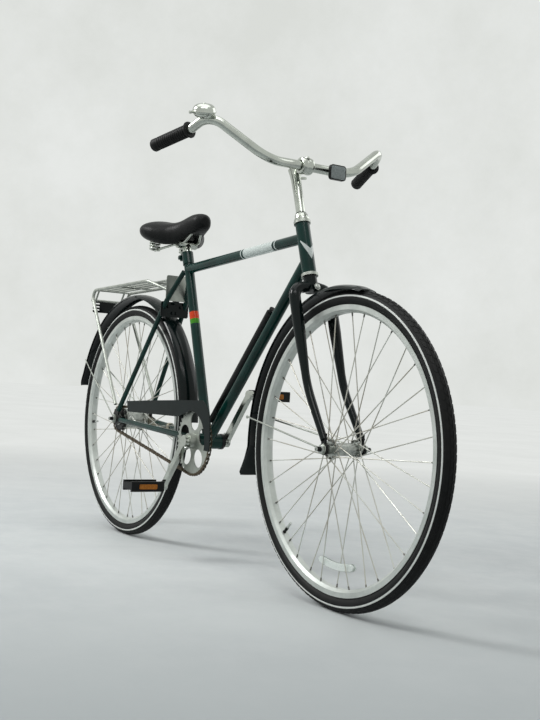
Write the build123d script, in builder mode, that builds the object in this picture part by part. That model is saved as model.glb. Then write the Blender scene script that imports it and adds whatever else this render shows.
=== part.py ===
from build123d import *
from math import asin, atan2, cos, degrees, pi, radians, sin, sqrt, tan
import os

os.makedirs("parts", exist_ok=True)

# Roadster bicycle, in millimetres. X runs ahead, Y to the rider's left, Z up.
# Places are given as x ahead of the rear axle, y to the left and z above the ground.
# The model's origin is where the rider sits, on top of the saddle.

# Wheels
wheelbase = 1083
bead_seat_radius = 311
tyre_width = 37
tyre_radius = bead_seat_radius + tyre_width + 1
rim_flange_radius = bead_seat_radius + 5
rim_floor_radius = bead_seat_radius - 3
rim_inner_radius = rim_flange_radius - 17
rim_width = 27
tyre_facets = 8
rim_wall = 1.6
bead_gap = 0.2
spoke_count = 36
spoke_radius = 1.0
spoke_crossings = 3
valve_radius = 3
valve_length = 34

# Hubs and axles
axle_radius = 4.8
running_gap = 0.06
side_gap = 0.6
front_hub_barrel = 14
front_hub_end = 11
front_flange_radius = 22
front_flange_y = 33
front_dropout_y = 51
rear_hub_barrel = 27
rear_hub_end = 18
rear_flange_radius = 34
rear_flange_y = 30
rear_dropout_y = 55
flange_thickness = 3
dropout_thickness = 5
axle_nut_radius = 9
axle_nut_length = 8
axle_stub = 12

# Frame
head_angle = 71.0
fork_rake = 32.4
shoulder_z = 2 * tyre_radius + 6
head_tube_bottom_z = shoulder_z + 38
head_tube_top_z = head_tube_bottom_z + 121
head_z = head_tube_bottom_z + 29
head_x = wheelbase - fork_rake / sin(radians(head_angle)) - (head_z - tyre_radius) / tan(radians(head_angle))
head_tube_radius = 17
bracket_x = 480
bracket_z = tyre_radius - 30
seat_angle = 70.6
seat_tube_top_z = bracket_z + 519
seat_tube_radius = 13.5
top_tube_radius = 13
top_tube_seat_z = seat_tube_top_z - 47
top_tube_head_z = head_tube_top_z - 34
down_tube_radius = 13.5
down_tube_head_z = head_tube_bottom_z + 34
shell_radius = 20
shell_width = 68
chain_stay_front_radius = 9.5
chain_stay_rear_radius = 7
chain_stay_front_y = 22
seat_stay_radius = 7
seat_stay_top_z = seat_tube_top_z - 54
stay_bridge_radius = 6

# The rider sits here, on top of the saddle
rider_x = bracket_x - 230
rider_z = seat_tube_top_z + 87

# Crank and pedals
crank_length = 170
crank_angle = 230
crank_right_y = 68
crank_left_y = 55
crank_thickness = 13
crank_clear = 5.1
guard_plate = 1.4
crank_boss_radius = 15
crank_eye_radius = 12
arm_hub_half = 9.5
arm_eye_half = 7.5
spindle_radius = 8
cup_radius = 21
cup_length = 9
chainring_teeth = 44
sprocket_teeth = 18
chain_pitch = 12.7
chain_y = 43
tooth_thickness = 2.4
window_count = 5
window_at = 53
window_long = 49
window_wide = 44
chain_roller_radius = 3.9
chain_inner_gap = 4.2
roller_clear = 48
plate_thickness = 1.1
plate_height = 8.0
pedal_width = 96
pedal_depth = 58
pedal_height = 27
pedal_plate = 9
reflector_width = 52
reflector_height = 13
reflector_depth = 2
pedal_axle_radius = 6

# Steering
steerer_radius = 12.7
quill_radius = 11.1
bar_radius = 11.1
bar_x = head_x - 34
bar_z = head_tube_top_z + 138
bar_flat_half = 38
bar_low_x = bar_x + 23
bar_low_y = 116
bar_low_z = bar_z - 7
bar_high_x = bar_x - 31
bar_high_y = 247
bar_high_z = bar_z + 83
grip_front_x = bar_x - 85
grip_front_y = 265
grip_front_z = bar_z + 55
grip_back_x = bar_x - 195
grip_back_y = 300
grip_back_z = bar_z + 30
blade_top_radius = 13.5
blade_low_radius = 9.5
blade_tip_radius = 8
shoulder_y = 50
shoulder_bend = 26
blade_taper_z = shoulder_z - 95
blade_bend_z = tyre_radius + 133
blade_bend = 260
locknut_radius = 19
cup_flange_radius = 20
grip_radius = 15.5
bell_radius = 26
bell_cap = 9
grip_length = 116

# Mudguards
guard_half_width = 27
guard_thickness = 1.6
guard_crown = 11
front_guard_radius = tyre_radius + 18
rear_guard_radius = tyre_radius + 33

# Saddle, post and rack
pump_radius = 10.5
pump_from = 62
pump_length = 373
post_radius = 12.5
saddle_nose_x = rider_x + 148
saddle_tail_x = rider_x + -100
saddle_half_width = 100
saddle_base_z = rider_z - 37
rail_radius = 3.4
rail_y = 22
coil_y = 48
coil_radius = 13
coil_pitch = 8
coil_height = 34
clamp_z = rider_z - 62
clamp_half = 29
clamp_radius = 13
lug_length = 36
lug_wall = 2.5
arm_thickness = 3
guard_stay_radius = 1.9
rack_half_width = 60
rack_tube_radius = 5
rack_z = tyre_radius + rear_guard_radius + 21
rack_rear_x = -244
rack_front_x = 176
rack_plate_x = bracket_x - 230
rack_front_half = 32
rack_bar_radius = 3
rack_bar_step = 24


def place(x, y, z):
    """A point given from the rear axle and the ground, in the model's frame."""
    return Vector(x - rider_x, y, z - rider_z)


def level(x, y, z, facing):
    """A plane at such a point, with its normal along facing."""
    return Plane(origin=place(x, y, z), z_dir=facing)


def side_plane(y):
    """The upright plane at y, seen from the left: local x backwards, local y up."""
    return Plane(origin=place(0, y, 0), x_dir=(-1, 0, 0), z_dir=(0, 1, 0))


def axle_plane(x, z):
    """The flat plane through an axle: local x runs ahead and local y to the left."""
    return Plane(origin=place(x, 0, z), x_dir=(1, 0, 0), z_dir=(0, 0, 1))


def polar(radius, angle):
    return radius * cos(radians(angle)), radius * sin(radians(angle))


def rod(start, end, radius):
    """A round bar between two points."""
    run = end - start
    with BuildSketch(Plane(origin=start, z_dir=run)) as section:
        Circle(radius)
    extrude(section.sketch, amount=run.length)


def bent_rod(points, radius, bends):
    """A round bar along straight runs joined by arcs."""
    with BuildLine() as path:
        FilletPolyline(*points, radius=bends)
    with BuildSketch(Plane(origin=path.line @ 0, z_dir=path.line % 0)) as section:
        Circle(radius)
    sweep(sections=section.sketch, path=path.line)


def cone_rod(start, end, radius_from, radius_to):
    """A straight bar that tapers between two points."""
    run = end - start
    with Locations(Plane(origin=start, z_dir=run)):
        Cone(radius_from, radius_to, run.length, align=(Align.CENTER, Align.CENTER, Align.MIN))


def toward(start, end, distance):
    """The point at a distance from start on the way to end."""
    return start + (end - start).normalized() * distance


def steer(z, ahead=0.0, y=0.0):
    """The point of the steering axis at height z, moved ahead of it."""
    return place(head_x - (z - head_z) / tan(radians(head_angle)) + ahead, y, z)


def seat_line(z, y=0.0):
    """The point of the seat tube's axis at height z."""
    return place(bracket_x - (z - bracket_z) / tan(radians(seat_angle)), y, z)


steering_up = Vector(-cos(radians(head_angle)), 0, sin(radians(head_angle)))
seat_up = Vector(-cos(radians(seat_angle)), 0, sin(radians(seat_angle)))
front_axle = place(wheelbase, 0, tyre_radius)
rear_axle = place(0, 0, tyre_radius)
bracket = place(bracket_x, 0, bracket_z)
chainring_radius = chain_pitch / (2 * sin(pi / chainring_teeth))
sprocket_radius = chain_pitch / (2 * sin(pi / sprocket_teeth))

# Wheels: tyre, rim, spokes and hub, each turned about its axle


def make_tyre(x):
    """A tyre of round section that sits between the rim's flanges."""
    axle = axle_plane(x, tyre_radius)
    foot = rim_width / 2 - rim_wall - bead_gap
    bead = rim_floor_radius + bead_gap
    section_radius = tyre_width / 2
    middle = tyre_radius - section_radius
    reach = 180 - degrees(asin(foot / section_radius))
    outside = []
    for i in range(tyre_facets + 1):
        out, across = polar(section_radius, reach - 2 * reach * i / tyre_facets)
        outside.append((middle + out, across))
    with BuildPart() as tyre:
        with BuildSketch(axle):
            with BuildLine():
                Polyline((bead, -foot), (bead, foot), *outside, close=True)
            make_face()
        revolve(axis=Axis(axle.origin, (0, 1, 0)))
    return tyre


def make_rim(x, valve_angle):
    """A channel rim with upright flanges and a bevelled back, and the valve through it."""
    axle = axle_plane(x, tyre_radius)
    half = rim_width / 2
    inside = half - rim_wall
    with BuildPart() as rim:
        with BuildSketch(axle):
            with BuildLine():
                Polyline(
                    (rim_flange_radius, -half),
                    (rim_inner_radius + 6, -half),
                    (rim_inner_radius, -half + 6),
                    (rim_inner_radius, half - 6),
                    (rim_inner_radius + 6, half),
                    (rim_flange_radius, half),
                    (rim_flange_radius, inside),
                    (rim_floor_radius, inside),
                    (rim_floor_radius, -inside),
                    (rim_flange_radius, -inside),
                    close=True,
                )
            make_face()
        revolve(axis=Axis(axle.origin, (0, 1, 0)))
        out_x, out_z = polar(rim_floor_radius - 1, valve_angle)
        in_x, in_z = polar(rim_inner_radius - valve_length, valve_angle)
        rod(place(x + in_x, 0, tyre_radius + in_z), place(x + out_x, 0, tyre_radius + out_z), valve_radius)
    return rim


def make_spokes(x, flange_radius, flange_y):
    """Crossed spokes, from both faces of each hub flange to the middle of the rim."""
    per_side = spoke_count // 2
    hole_radius = flange_radius - 4
    stand_off = flange_thickness / 2 + spoke_radius + 0.7
    lead = 360 / per_side * spoke_crossings
    with BuildPart() as spokes:
        for side in (-1, 1):
            for i in range(per_side):
                turn = 1 if i % 2 else -1
                hub_angle = 360 / per_side * (i + (0.5 if side > 0 else 0))
                rim_angle = hub_angle + turn * lead
                hub_x, hub_z = polar(hole_radius, hub_angle)
                rim_x, rim_z = polar(rim_inner_radius - 0.1, rim_angle)
                hub_y = side * (flange_y + turn * stand_off)
                start = place(x + hub_x, hub_y, tyre_radius + hub_z)
                end = place(x + rim_x, side * 3, tyre_radius + rim_z)
                run = end - start
                with BuildSketch(Plane(origin=start, z_dir=run)) as section:
                    RegularPolygon(radius=spoke_radius, side_count=6)
                extrude(section.sketch, amount=run.length)
    return spokes


def make_hub(x, barrel_radius, end_radius, flange_radius, flange_y, half_length):
    """A hub barrel with two flanges and a bore that runs on the axle."""
    axle = axle_plane(x, tyre_radius)
    bore = axle_radius + running_gap
    with BuildPart() as hub:
        with BuildSketch(axle):
            with BuildLine():
                Polyline(
                    (bore, -half_length),
                    (end_radius, -half_length),
                    (end_radius, -flange_y - flange_thickness / 2),
                    (flange_radius, -flange_y - flange_thickness / 2),
                    (flange_radius, -flange_y + flange_thickness / 2),
                    (barrel_radius, -flange_y + flange_thickness / 2),
                    (barrel_radius, flange_y - flange_thickness / 2),
                    (flange_radius, flange_y - flange_thickness / 2),
                    (flange_radius, flange_y + flange_thickness / 2),
                    (end_radius, flange_y + flange_thickness / 2),
                    (end_radius, half_length),
                    (bore, half_length),
                    close=True,
                )
            make_face()
        revolve(axis=Axis(axle.origin, (0, 1, 0)))
    return hub


def make_axle(x, dropout_y, hub_half):
    """A fixed axle with a cone nut inside and an axle nut outside each dropout."""
    axle = axle_plane(x, tyre_radius)
    inner = dropout_y - dropout_thickness / 2
    outer = dropout_y + dropout_thickness / 2
    with BuildPart() as spindle:
        with BuildSketch(axle):
            with BuildLine():
                Polyline(
                    (0, -outer - axle_nut_length - axle_stub),
                    (axle_radius, -outer - axle_nut_length - axle_stub),
                    (axle_radius, -outer - axle_nut_length),
                    (axle_nut_radius, -outer - axle_nut_length),
                    (axle_nut_radius, -outer),
                    (axle_radius, -outer),
                    (axle_radius, -inner),
                    (axle_nut_radius, -inner),
                    (axle_nut_radius, -hub_half - side_gap),
                    (axle_radius, -hub_half - side_gap),
                    (axle_radius, hub_half + side_gap),
                    (axle_nut_radius, hub_half + side_gap),
                    (axle_nut_radius, inner),
                    (axle_radius, inner),
                    (axle_radius, outer),
                    (axle_nut_radius, outer),
                    (axle_nut_radius, outer + axle_nut_length),
                    (axle_radius, outer + axle_nut_length),
                    (axle_radius, outer + axle_nut_length + axle_stub),
                    (0, outer + axle_nut_length + axle_stub),
                    close=True,
                )
            make_face()
        revolve(axis=Axis(axle.origin, (0, 1, 0)))
    return spindle


def toothed_disc(x, z, y, teeth, thickness):
    """A toothed wheel that stands upright at y, with its tips rounded off."""
    pitch_radius = chain_pitch / (2 * sin(pi / teeth))
    root = pitch_radius - chain_roller_radius
    tip = pitch_radius + 2.6
    step = 360 / teeth
    points = []
    for i in range(teeth):
        points.append(polar(root, i * step - 0.16 * step))
        points.append(polar(root, i * step + 0.16 * step))
        points.append(polar(tip, i * step + 0.42 * step))
        points.append(polar(tip, i * step + 0.58 * step))
    plane = Plane(origin=place(x, y - thickness / 2, z), x_dir=(-1, 0, 0), z_dir=(0, 1, 0))
    with BuildSketch(plane) as outline:
        with BuildLine():
            Polyline(*points, close=True)
        make_face()
    extrude(outline.sketch, amount=thickness)


front_half = front_dropout_y - dropout_thickness / 2 - 5
rear_half = rear_dropout_y - dropout_thickness / 2 - 6

front_tyre = make_tyre(wheelbase)
rear_tyre = make_tyre(0)
front_rim = make_rim(wheelbase, 225)
rear_rim = make_rim(0, 185)
front_spokes = make_spokes(wheelbase, front_flange_radius, front_flange_y)
rear_spokes = make_spokes(0, rear_flange_radius, rear_flange_y)
front_hub = make_hub(wheelbase, front_hub_barrel, front_hub_end, front_flange_radius, front_flange_y, front_half)
rear_hub = make_hub(0, rear_hub_barrel, rear_hub_end, rear_flange_radius, rear_flange_y, rear_half)
front_axle_set = make_axle(wheelbase, front_dropout_y, front_half)
rear_axle_set = make_axle(0, rear_dropout_y, rear_half)

with BuildPart() as rear_sprocket:
    toothed_disc(0, tyre_radius, -chain_y, sprocket_teeth, tooth_thickness)
    with BuildSketch(side_plane(-chain_y + tooth_thickness)) as hole:
        with Locations((0, tyre_radius)):
            Circle(rear_hub_end)
    extrude(hole.sketch, amount=-3 * tooth_thickness, mode=Mode.SUBTRACT)

# Frame: tubes mitred to each other, each its own piece

with BuildPart() as head_tube:
    rod(steer(head_tube_bottom_z), steer(head_tube_top_z), head_tube_radius)
    rod_length = (head_tube_top_z - head_tube_bottom_z) / sin(radians(head_angle))
    with BuildSketch(Plane(origin=steer(head_tube_bottom_z), z_dir=steering_up)) as bore:
        Circle(steerer_radius + 2)
    extrude(bore.sketch, amount=rod_length, mode=Mode.SUBTRACT)

with BuildPart() as head_outside:
    rod(steer(head_tube_bottom_z), steer(head_tube_top_z), head_tube_radius)

with BuildPart() as bottom_bracket_shell:
    rod(place(bracket_x, -shell_width / 2, bracket_z), place(bracket_x, shell_width / 2, bracket_z), shell_radius)
    with BuildSketch(Plane(origin=place(bracket_x, -shell_width / 2, bracket_z), z_dir=(0, 1, 0))) as bore:
        Circle(shell_radius - 3)
    extrude(bore.sketch, amount=shell_width, mode=Mode.SUBTRACT)

with BuildPart() as shell_outside:
    rod(place(bracket_x, -shell_width / 2, bracket_z), place(bracket_x, shell_width / 2, bracket_z), shell_radius)

with BuildPart() as seat_tube:
    rod(bracket, seat_line(seat_tube_top_z), seat_tube_radius)
    add(shell_outside.part, mode=Mode.SUBTRACT)
    with BuildSketch(Plane(origin=seat_line(seat_tube_top_z), z_dir=seat_up * -1)) as bore:
        Circle(post_radius)
    extrude(bore.sketch, amount=120, mode=Mode.SUBTRACT)

with BuildPart() as seat_outside:
    rod(bracket, seat_line(seat_tube_top_z), seat_tube_radius)

with BuildPart() as top_tube:
    rod(seat_line(top_tube_seat_z), steer(top_tube_head_z), top_tube_radius)
    add(head_outside.part, mode=Mode.SUBTRACT)
    add(seat_outside.part, mode=Mode.SUBTRACT)

with BuildPart() as down_tube:
    rod(bracket, steer(down_tube_head_z), down_tube_radius)
    add(head_outside.part, mode=Mode.SUBTRACT)
    add(shell_outside.part, mode=Mode.SUBTRACT)
    add(seat_outside.part, mode=Mode.SUBTRACT)

with BuildPart() as chain_stays:
    for side in (-1, 1):
        stay_front = place(bracket_x - 14, side * chain_stay_front_y, bracket_z + 3)
        stay_rear = place(34, side * rear_dropout_y, tyre_radius - 2)
        cone_rod(stay_front, stay_rear, chain_stay_front_radius, chain_stay_rear_radius)
    add(shell_outside.part, mode=Mode.SUBTRACT)
    add(seat_outside.part, mode=Mode.SUBTRACT)

seat_stay_top = seat_line(seat_stay_top_z)
with BuildPart() as seat_stays:
    for side in (-1, 1):
        bent_rod(
            [
                seat_stay_top + Vector(-14, side * 9, 0),
                seat_stay_top + Vector(-70, side * 32, -84),
                place(16, side * rear_dropout_y, tyre_radius + 26),
            ],
            seat_stay_radius,
            [160],
        )
    add(seat_outside.part, mode=Mode.SUBTRACT)
    add(top_tube.part, mode=Mode.SUBTRACT)

with BuildPart() as rear_dropouts:
    for side in (-1, 1):
        y = side * rear_dropout_y
        plane = Plane(origin=place(0, y - dropout_thickness / 2, 0), x_dir=(-1, 0, 0), z_dir=(0, 1, 0))
        with BuildSketch(plane) as outline:
            with BuildLine():
                Polyline(
                    (12, tyre_radius - 12),
                    (14, tyre_radius + 12),
                    (-6, tyre_radius + 34),
                    (-20, tyre_radius + 30),
                    (-18, tyre_radius + 12),
                    (-40, tyre_radius + 6),
                    (-40, tyre_radius - 9),
                    (-10, tyre_radius - 16),
                    close=True,
                )
            make_face()
            with Locations((0, tyre_radius)):
                Circle(axle_radius, mode=Mode.SUBTRACT)
        extrude(outline.sketch, amount=dropout_thickness)
    add(chain_stays.part, mode=Mode.SUBTRACT)
    add(seat_stays.part, mode=Mode.SUBTRACT)

# Cranks, chainring and pedals turn about the bottom bracket

cup_bore = spindle_radius + running_gap
with BuildPart() as bracket_cups:
    for side in (-1, 1):
        start = place(bracket_x, side * (shell_width / 2 - 8), bracket_z)
        edge = place(bracket_x, side * shell_width / 2, bracket_z)
        end = place(bracket_x, side * (shell_width / 2 + cup_length), bracket_z)
        if side < 0:
            end = place(bracket_x, side * (shell_width / 2 + 2), bracket_z)
        rod(start, edge, shell_radius - 3)
        rod(edge, end, cup_radius)
    with BuildSketch(Plane(origin=place(bracket_x, -60, bracket_z), z_dir=(0, 1, 0))) as bore:
        Circle(cup_bore)
    extrude(bore.sketch, amount=120, mode=Mode.SUBTRACT)


def crank_arm(side, angle, y):
    """A tapered arm from the spindle's boss to the pedal's eye."""
    reach_x, reach_z = polar(crank_length, angle)
    near = y - crank_thickness / 2
    plane = Plane(origin=place(0, near, 0), x_dir=(-1, 0, 0), z_dir=(0, 1, 0))
    hub_point = Vector(-bracket_x, bracket_z)
    eye_point = Vector(-bracket_x - reach_x, bracket_z + reach_z)
    with BuildSketch(plane) as arm:
        with Locations(hub_point):
            Circle(crank_boss_radius)
        with Locations(eye_point):
            Circle(crank_eye_radius)
        run = (eye_point - hub_point).normalized()
        across = Vector(-run.Y, run.X)
        with BuildLine():
            Polyline(
                hub_point + across * arm_hub_half,
                eye_point + across * arm_eye_half,
                eye_point - across * arm_eye_half,
                hub_point - across * arm_hub_half,
                close=True,
            )
        make_face()
    extrude(arm.sketch, amount=crank_thickness)


with BuildPart() as crank_right:
    crank_arm(-1, crank_angle, -crank_right_y)
with BuildPart() as crank_left:
    crank_arm(1, crank_angle - 180, crank_left_y)

spindle_from = -crank_right_y + crank_thickness / 2
spindle_to = crank_left_y - crank_thickness / 2
with BuildPart() as crank_spindle:
    rod(place(bracket_x, spindle_from, bracket_z), place(bracket_x, spindle_to, bracket_z), spindle_radius)

with BuildPart() as chainring:
    toothed_disc(bracket_x, bracket_z, -chain_y, chainring_teeth, tooth_thickness)
    rod(
        place(bracket_x, -crank_right_y + crank_thickness / 2, bracket_z),
        place(bracket_x, -chain_y, bracket_z),
        20,
    )
    with BuildSketch(side_plane(-chain_y + 5)) as holes:
        with Locations((-bracket_x, bracket_z)):
            with PolarLocations(window_at, window_count, start_angle=crank_angle - 138):
                Ellipse(window_long / 2, window_wide / 2)
    extrude(holes.sketch, amount=-10, mode=Mode.SUBTRACT)
    with BuildSketch(side_plane(0)) as hole:
        with Locations((-bracket_x, bracket_z)):
            Circle(spindle_radius)
    extrude(hole.sketch, amount=-100, mode=Mode.SUBTRACT)


def pedal_centre(side):
    angle = crank_angle if side < 0 else crank_angle - 180
    reach_x, reach_z = polar(crank_length, angle)
    return bracket_x + reach_x, bracket_z + reach_z


def make_pedal_axle(side):
    """The fixed stub that a pedal turns on."""
    x, z = pedal_centre(side)
    crank_y = crank_right_y if side < 0 else crank_left_y
    start = side * (crank_y + crank_thickness / 2)
    end = side * (pedal_start(side) + pedal_width - 10)
    with BuildPart() as stub:
        rod(place(x, start, z), place(x, end, z), pedal_axle_radius)
    return stub


def pedal_start(side):
    crank_y = crank_right_y if side < 0 else crank_left_y
    return crank_y + crank_thickness / 2 + 6


def make_pedal(side):
    """A block pedal: two treads, end plates and a sleeve round the axle."""
    x, z = pedal_centre(side)
    near = side * pedal_start(side)
    middle = near + side * pedal_width / 2
    with BuildPart() as pedal:
        for ahead in (-1, 1):
            tread_x = x + ahead * (pedal_depth - pedal_plate) / 2
            with BuildSketch(level(tread_x, middle, z - pedal_height / 2, (0, 0, 1))) as tread:
                RectangleRounded(pedal_plate, pedal_width, 2)
            extrude(tread.sketch, amount=pedal_height)
        for end in (-1, 1):
            plate_y = middle + end * (pedal_width - 5) / 2
            with BuildSketch(level(x, plate_y, z - 9, (0, 0, 1))) as plate:
                Rectangle(pedal_depth - 2, 5)
            extrude(plate.sketch, amount=18)
        rod(place(x, near, z), place(x, near + side * pedal_width, z), 11)
        with BuildSketch(Plane(origin=place(x, near, z), z_dir=(0, side, 0))) as bore:
            Circle(pedal_axle_radius + running_gap)
        extrude(bore.sketch, amount=pedal_width - 8, mode=Mode.SUBTRACT)
    return pedal


def make_pedal_reflectors(side):
    """A flat reflector let into the outer face of each tread."""
    x, z = pedal_centre(side)
    middle = side * (pedal_start(side) + pedal_width / 2)
    with BuildPart() as reflectors:
        for ahead in (-1, 1):
            face = level(x + ahead * pedal_depth / 2, middle, z, (ahead, 0, 0))
            with BuildSketch(face) as lens:
                RectangleRounded(reflector_height, reflector_width, 3)
            extrude(lens.sketch, amount=reflector_depth)
    return reflectors


pedal_right_reflectors = make_pedal_reflectors(-1)
pedal_left_reflectors = make_pedal_reflectors(1)
pedal_right = make_pedal(-1)
pedal_left = make_pedal(1)
pedal_axle_right = make_pedal_axle(-1)
pedal_axle_left = make_pedal_axle(1)

# Chain: two bands of plates beside the teeth, joined by rollers on the free runs


small_at = Vector(0, tyre_radius)
big_at = Vector(-bracket_x, bracket_z)
centre_run = big_at - small_at
chain_heading = degrees(atan2(centre_run.Y, centre_run.X))


def tangent_angle():
    """The angle from the line of centres to the points where the belt line leaves the wheels."""
    fall = chainring_radius - sprocket_radius
    return degrees(atan2(sqrt(centre_run.length**2 - fall**2), -fall))


def loop_points(grow):
    """The belt line round both toothed wheels, grown outwards, with a corner at each pin."""
    spread = tangent_angle()
    big_steps = round(2 * spread / 360 * chainring_teeth)
    small_steps = round(2 * (180 - spread) / 360 * sprocket_teeth)
    points = []
    for i in range(big_steps + 1):
        angle = chain_heading - spread + 2 * spread * i / big_steps
        points.append(big_at + Vector(*polar(chainring_radius + grow, angle)))
    for i in range(small_steps + 1):
        angle = chain_heading + spread + 2 * (180 - spread) * i / small_steps
        points.append(small_at + Vector(*polar(sprocket_radius + grow, angle)))
    return points


with BuildPart() as chain:
    half_plate = plate_height / 2 - 1
    for side in (-1, 1):
        near = -chain_y + (chain_inner_gap / 2 if side > 0 else -chain_inner_gap / 2 - plate_thickness)
        plane = Plane(origin=place(0, near, 0), x_dir=(-1, 0, 0), z_dir=(0, 1, 0))
        with BuildSketch(plane) as band:
            with BuildLine():
                Polyline(*loop_points(half_plate), close=True)
            make_face()
            with BuildLine():
                Polyline(*loop_points(-half_plate), close=True)
            make_face(mode=Mode.SUBTRACT)
        extrude(band.sketch, amount=plate_thickness)
    spread = tangent_angle()
    roller_plane = Plane(
        origin=place(0, -chain_y - chain_inner_gap / 2, 0), x_dir=(-1, 0, 0), z_dir=(0, 1, 0)
    )
    with BuildSketch(roller_plane) as rollers:
        for turn in (-1, 1):
            big_end = big_at + Vector(*polar(chainring_radius, chain_heading + turn * spread))
            small_end = small_at + Vector(*polar(sprocket_radius, chain_heading + turn * spread))
            free_run = small_end - big_end
            count = int((free_run.length - 2 * roller_clear) / chain_pitch)
            lead = (free_run.length - count * chain_pitch) / 2
            for i in range(count + 1):
                spot = big_end + free_run.normalized() * (lead + i * chain_pitch)
                with Locations(spot):
                    RegularPolygon(radius=chain_roller_radius, side_count=6)
    extrude(rollers.sketch, amount=chain_inner_gap)

# Chain guard: a one-sided cover over the upper run, curved down before the chainring

guard_y = -crank_right_y + crank_thickness / 2 + crank_clear
with BuildPart() as chain_guard:
    with BuildSketch(Plane(origin=place(0, guard_y, 0), x_dir=(-1, 0, 0), z_dir=(0, 1, 0))) as outline:
        with BuildLine():
            top_rear = big_at + Vector(404, 87)
            top_front = big_at + Vector(-58, 110)
            tip = big_at + Vector(-106, -19)
            tip_in = big_at + Vector(-79, -19)
            ring_end = big_at + Vector(4, 79)
            rise_end = big_at + Vector(75, 60)
            low_rear = big_at + Vector(396, 56)
            ThreePointArc(top_rear, big_at + Vector(189, 99), top_front)
            ThreePointArc(top_front, big_at + Vector(-94, 82), big_at + Vector(-104, 49))
            ThreePointArc(big_at + Vector(-104, 49), big_at + Vector(-108, 15), tip)
            Line(tip, tip_in)
            ThreePointArc(tip_in, big_at + Vector(-57, 56), ring_end)
            Line(ring_end, rise_end)
            Line(rise_end, low_rear)
            Line(low_rear, top_rear)
        make_face()
    extrude(outline.sketch, amount=guard_plate)

# Mudguards: bands of domed section round each wheel


def make_mudguard(x, radius, angle_from, angle_to):
    """A domed band swept about the axle between two angles above the horizontal."""
    start_x, start_z = polar(radius, angle_from)
    facing = Vector(start_x, 0, start_z).normalized()
    origin = place(x, 0, tyre_radius)
    plane = Plane(origin=origin, x_dir=facing, z_dir=facing.cross(Vector(0, 1, 0)))
    half = guard_half_width
    edge = radius - guard_crown
    with BuildPart() as guard:
        with BuildSketch(plane):
            with BuildLine():
                ThreePointArc((edge, -half), (radius, 0), (edge, half))
                Line((edge, half), (edge - guard_thickness, half - guard_thickness / 2))
                ThreePointArc(
                    (edge - guard_thickness, half - guard_thickness / 2),
                    (radius - guard_thickness, 0),
                    (edge - guard_thickness, -half + guard_thickness / 2),
                )
                Line((edge - guard_thickness, -half + guard_thickness / 2), (edge, -half))
            make_face()
        revolve(axis=Axis(origin, (0, -1, 0)), revolution_arc=angle_to - angle_from)
    return guard


front_mudguard = make_mudguard(wheelbase, front_guard_radius, 81, 192)
flap_top_x, flap_top_z = polar(front_guard_radius + 1, 185)
flap_low_x, flap_low_z = polar(front_guard_radius + 36, 194)
with BuildPart() as front_flap:
    run = Vector(flap_low_x - flap_top_x, 0, flap_low_z - flap_top_z)
    away = Vector(run.Z, 0, -run.X).normalized()
    middle = place(wheelbase + (flap_top_x + flap_low_x) / 2, 0, tyre_radius + (flap_top_z + flap_low_z) / 2)
    with BuildSketch(Plane(origin=middle, x_dir=(0, 1, 0), z_dir=away)) as sheet:
        RectangleRounded(2 * guard_half_width + 2, run.length, 8)
    extrude(sheet.sketch, amount=1.5, both=True)
    add(front_mudguard.part, mode=Mode.SUBTRACT)
rear_mudguard = make_mudguard(0, rear_guard_radius, 2, 166)

# Steering: fork, headset, stem, bar, grips, bell and reflector

with BuildPart() as fork_steerer:
    rod(steer(shoulder_z - 4), steer(head_tube_top_z + 26), steerer_radius)
    rod(steer(shoulder_z - 4), steer(head_tube_bottom_z - 8), 16)

with BuildPart() as fork_blades:
    for side in (-1, 1):
        taper_top = steer(blade_taper_z, 0, side * shoulder_y)
        bend_point = steer(blade_bend_z, 0, side * shoulder_y)
        tip = place(wheelbase - 3, side * front_dropout_y, tyre_radius + 20)
        turn = (bend_point - taper_top).get_angle(tip - bend_point)
        tangent = blade_bend * tan(radians(turn / 2))
        bend_start = toward(bend_point, taper_top, tangent)
        bend_end = toward(bend_point, tip, tangent)
        bent_rod(
            [steer(shoulder_z + 8, 0, side * 6), steer(shoulder_z, 0, side * shoulder_y), taper_top],
            blade_top_radius,
            [shoulder_bend],
        )
        cone_rod(taper_top, bend_start, blade_top_radius, blade_low_radius)
        bent_rod([toward(bend_start, taper_top, 0.5), bend_point, bend_end], blade_low_radius, [blade_bend - 1])
        cone_rod(bend_end, tip, blade_low_radius, blade_tip_radius)
    add(fork_steerer.part, mode=Mode.SUBTRACT)

with BuildPart() as fork_dropouts:
    for side in (-1, 1):
        y = side * front_dropout_y
        plane = Plane(origin=place(0, y - dropout_thickness / 2, 0), x_dir=(-1, 0, 0), z_dir=(0, 1, 0))
        with BuildSketch(plane) as outline:
            with Locations((-wheelbase, tyre_radius)):
                Circle(13)
            with Locations((-wheelbase + 3, tyre_radius + 17)):
                Rectangle(14, 34)
            with Locations((-wheelbase, tyre_radius)):
                Circle(axle_radius, mode=Mode.SUBTRACT)
        extrude(outline.sketch, amount=dropout_thickness)
    add(fork_blades.part, mode=Mode.SUBTRACT)

with BuildPart() as headset_cups:
    with BuildSketch(Plane(origin=steer(head_tube_top_z), z_dir=steering_up)) as upper:
        Circle(cup_flange_radius)
        Circle(steerer_radius + 1, mode=Mode.SUBTRACT)
    extrude(upper.sketch, amount=7)
    with BuildSketch(Plane(origin=steer(head_tube_bottom_z), z_dir=steering_up * -1)) as lower:
        Circle(cup_flange_radius)
        Circle(steerer_radius + 1, mode=Mode.SUBTRACT)
    extrude(lower.sketch, amount=7)

with BuildPart() as headset_locknut:
    base = steer(head_tube_top_z) + steering_up * 8
    with BuildSketch(Plane(origin=base, z_dir=steering_up)) as nut:
        Circle(locknut_radius)
        Circle(steerer_radius, mode=Mode.SUBTRACT)
    extrude(nut.sketch, amount=18, taper=8)

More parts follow.
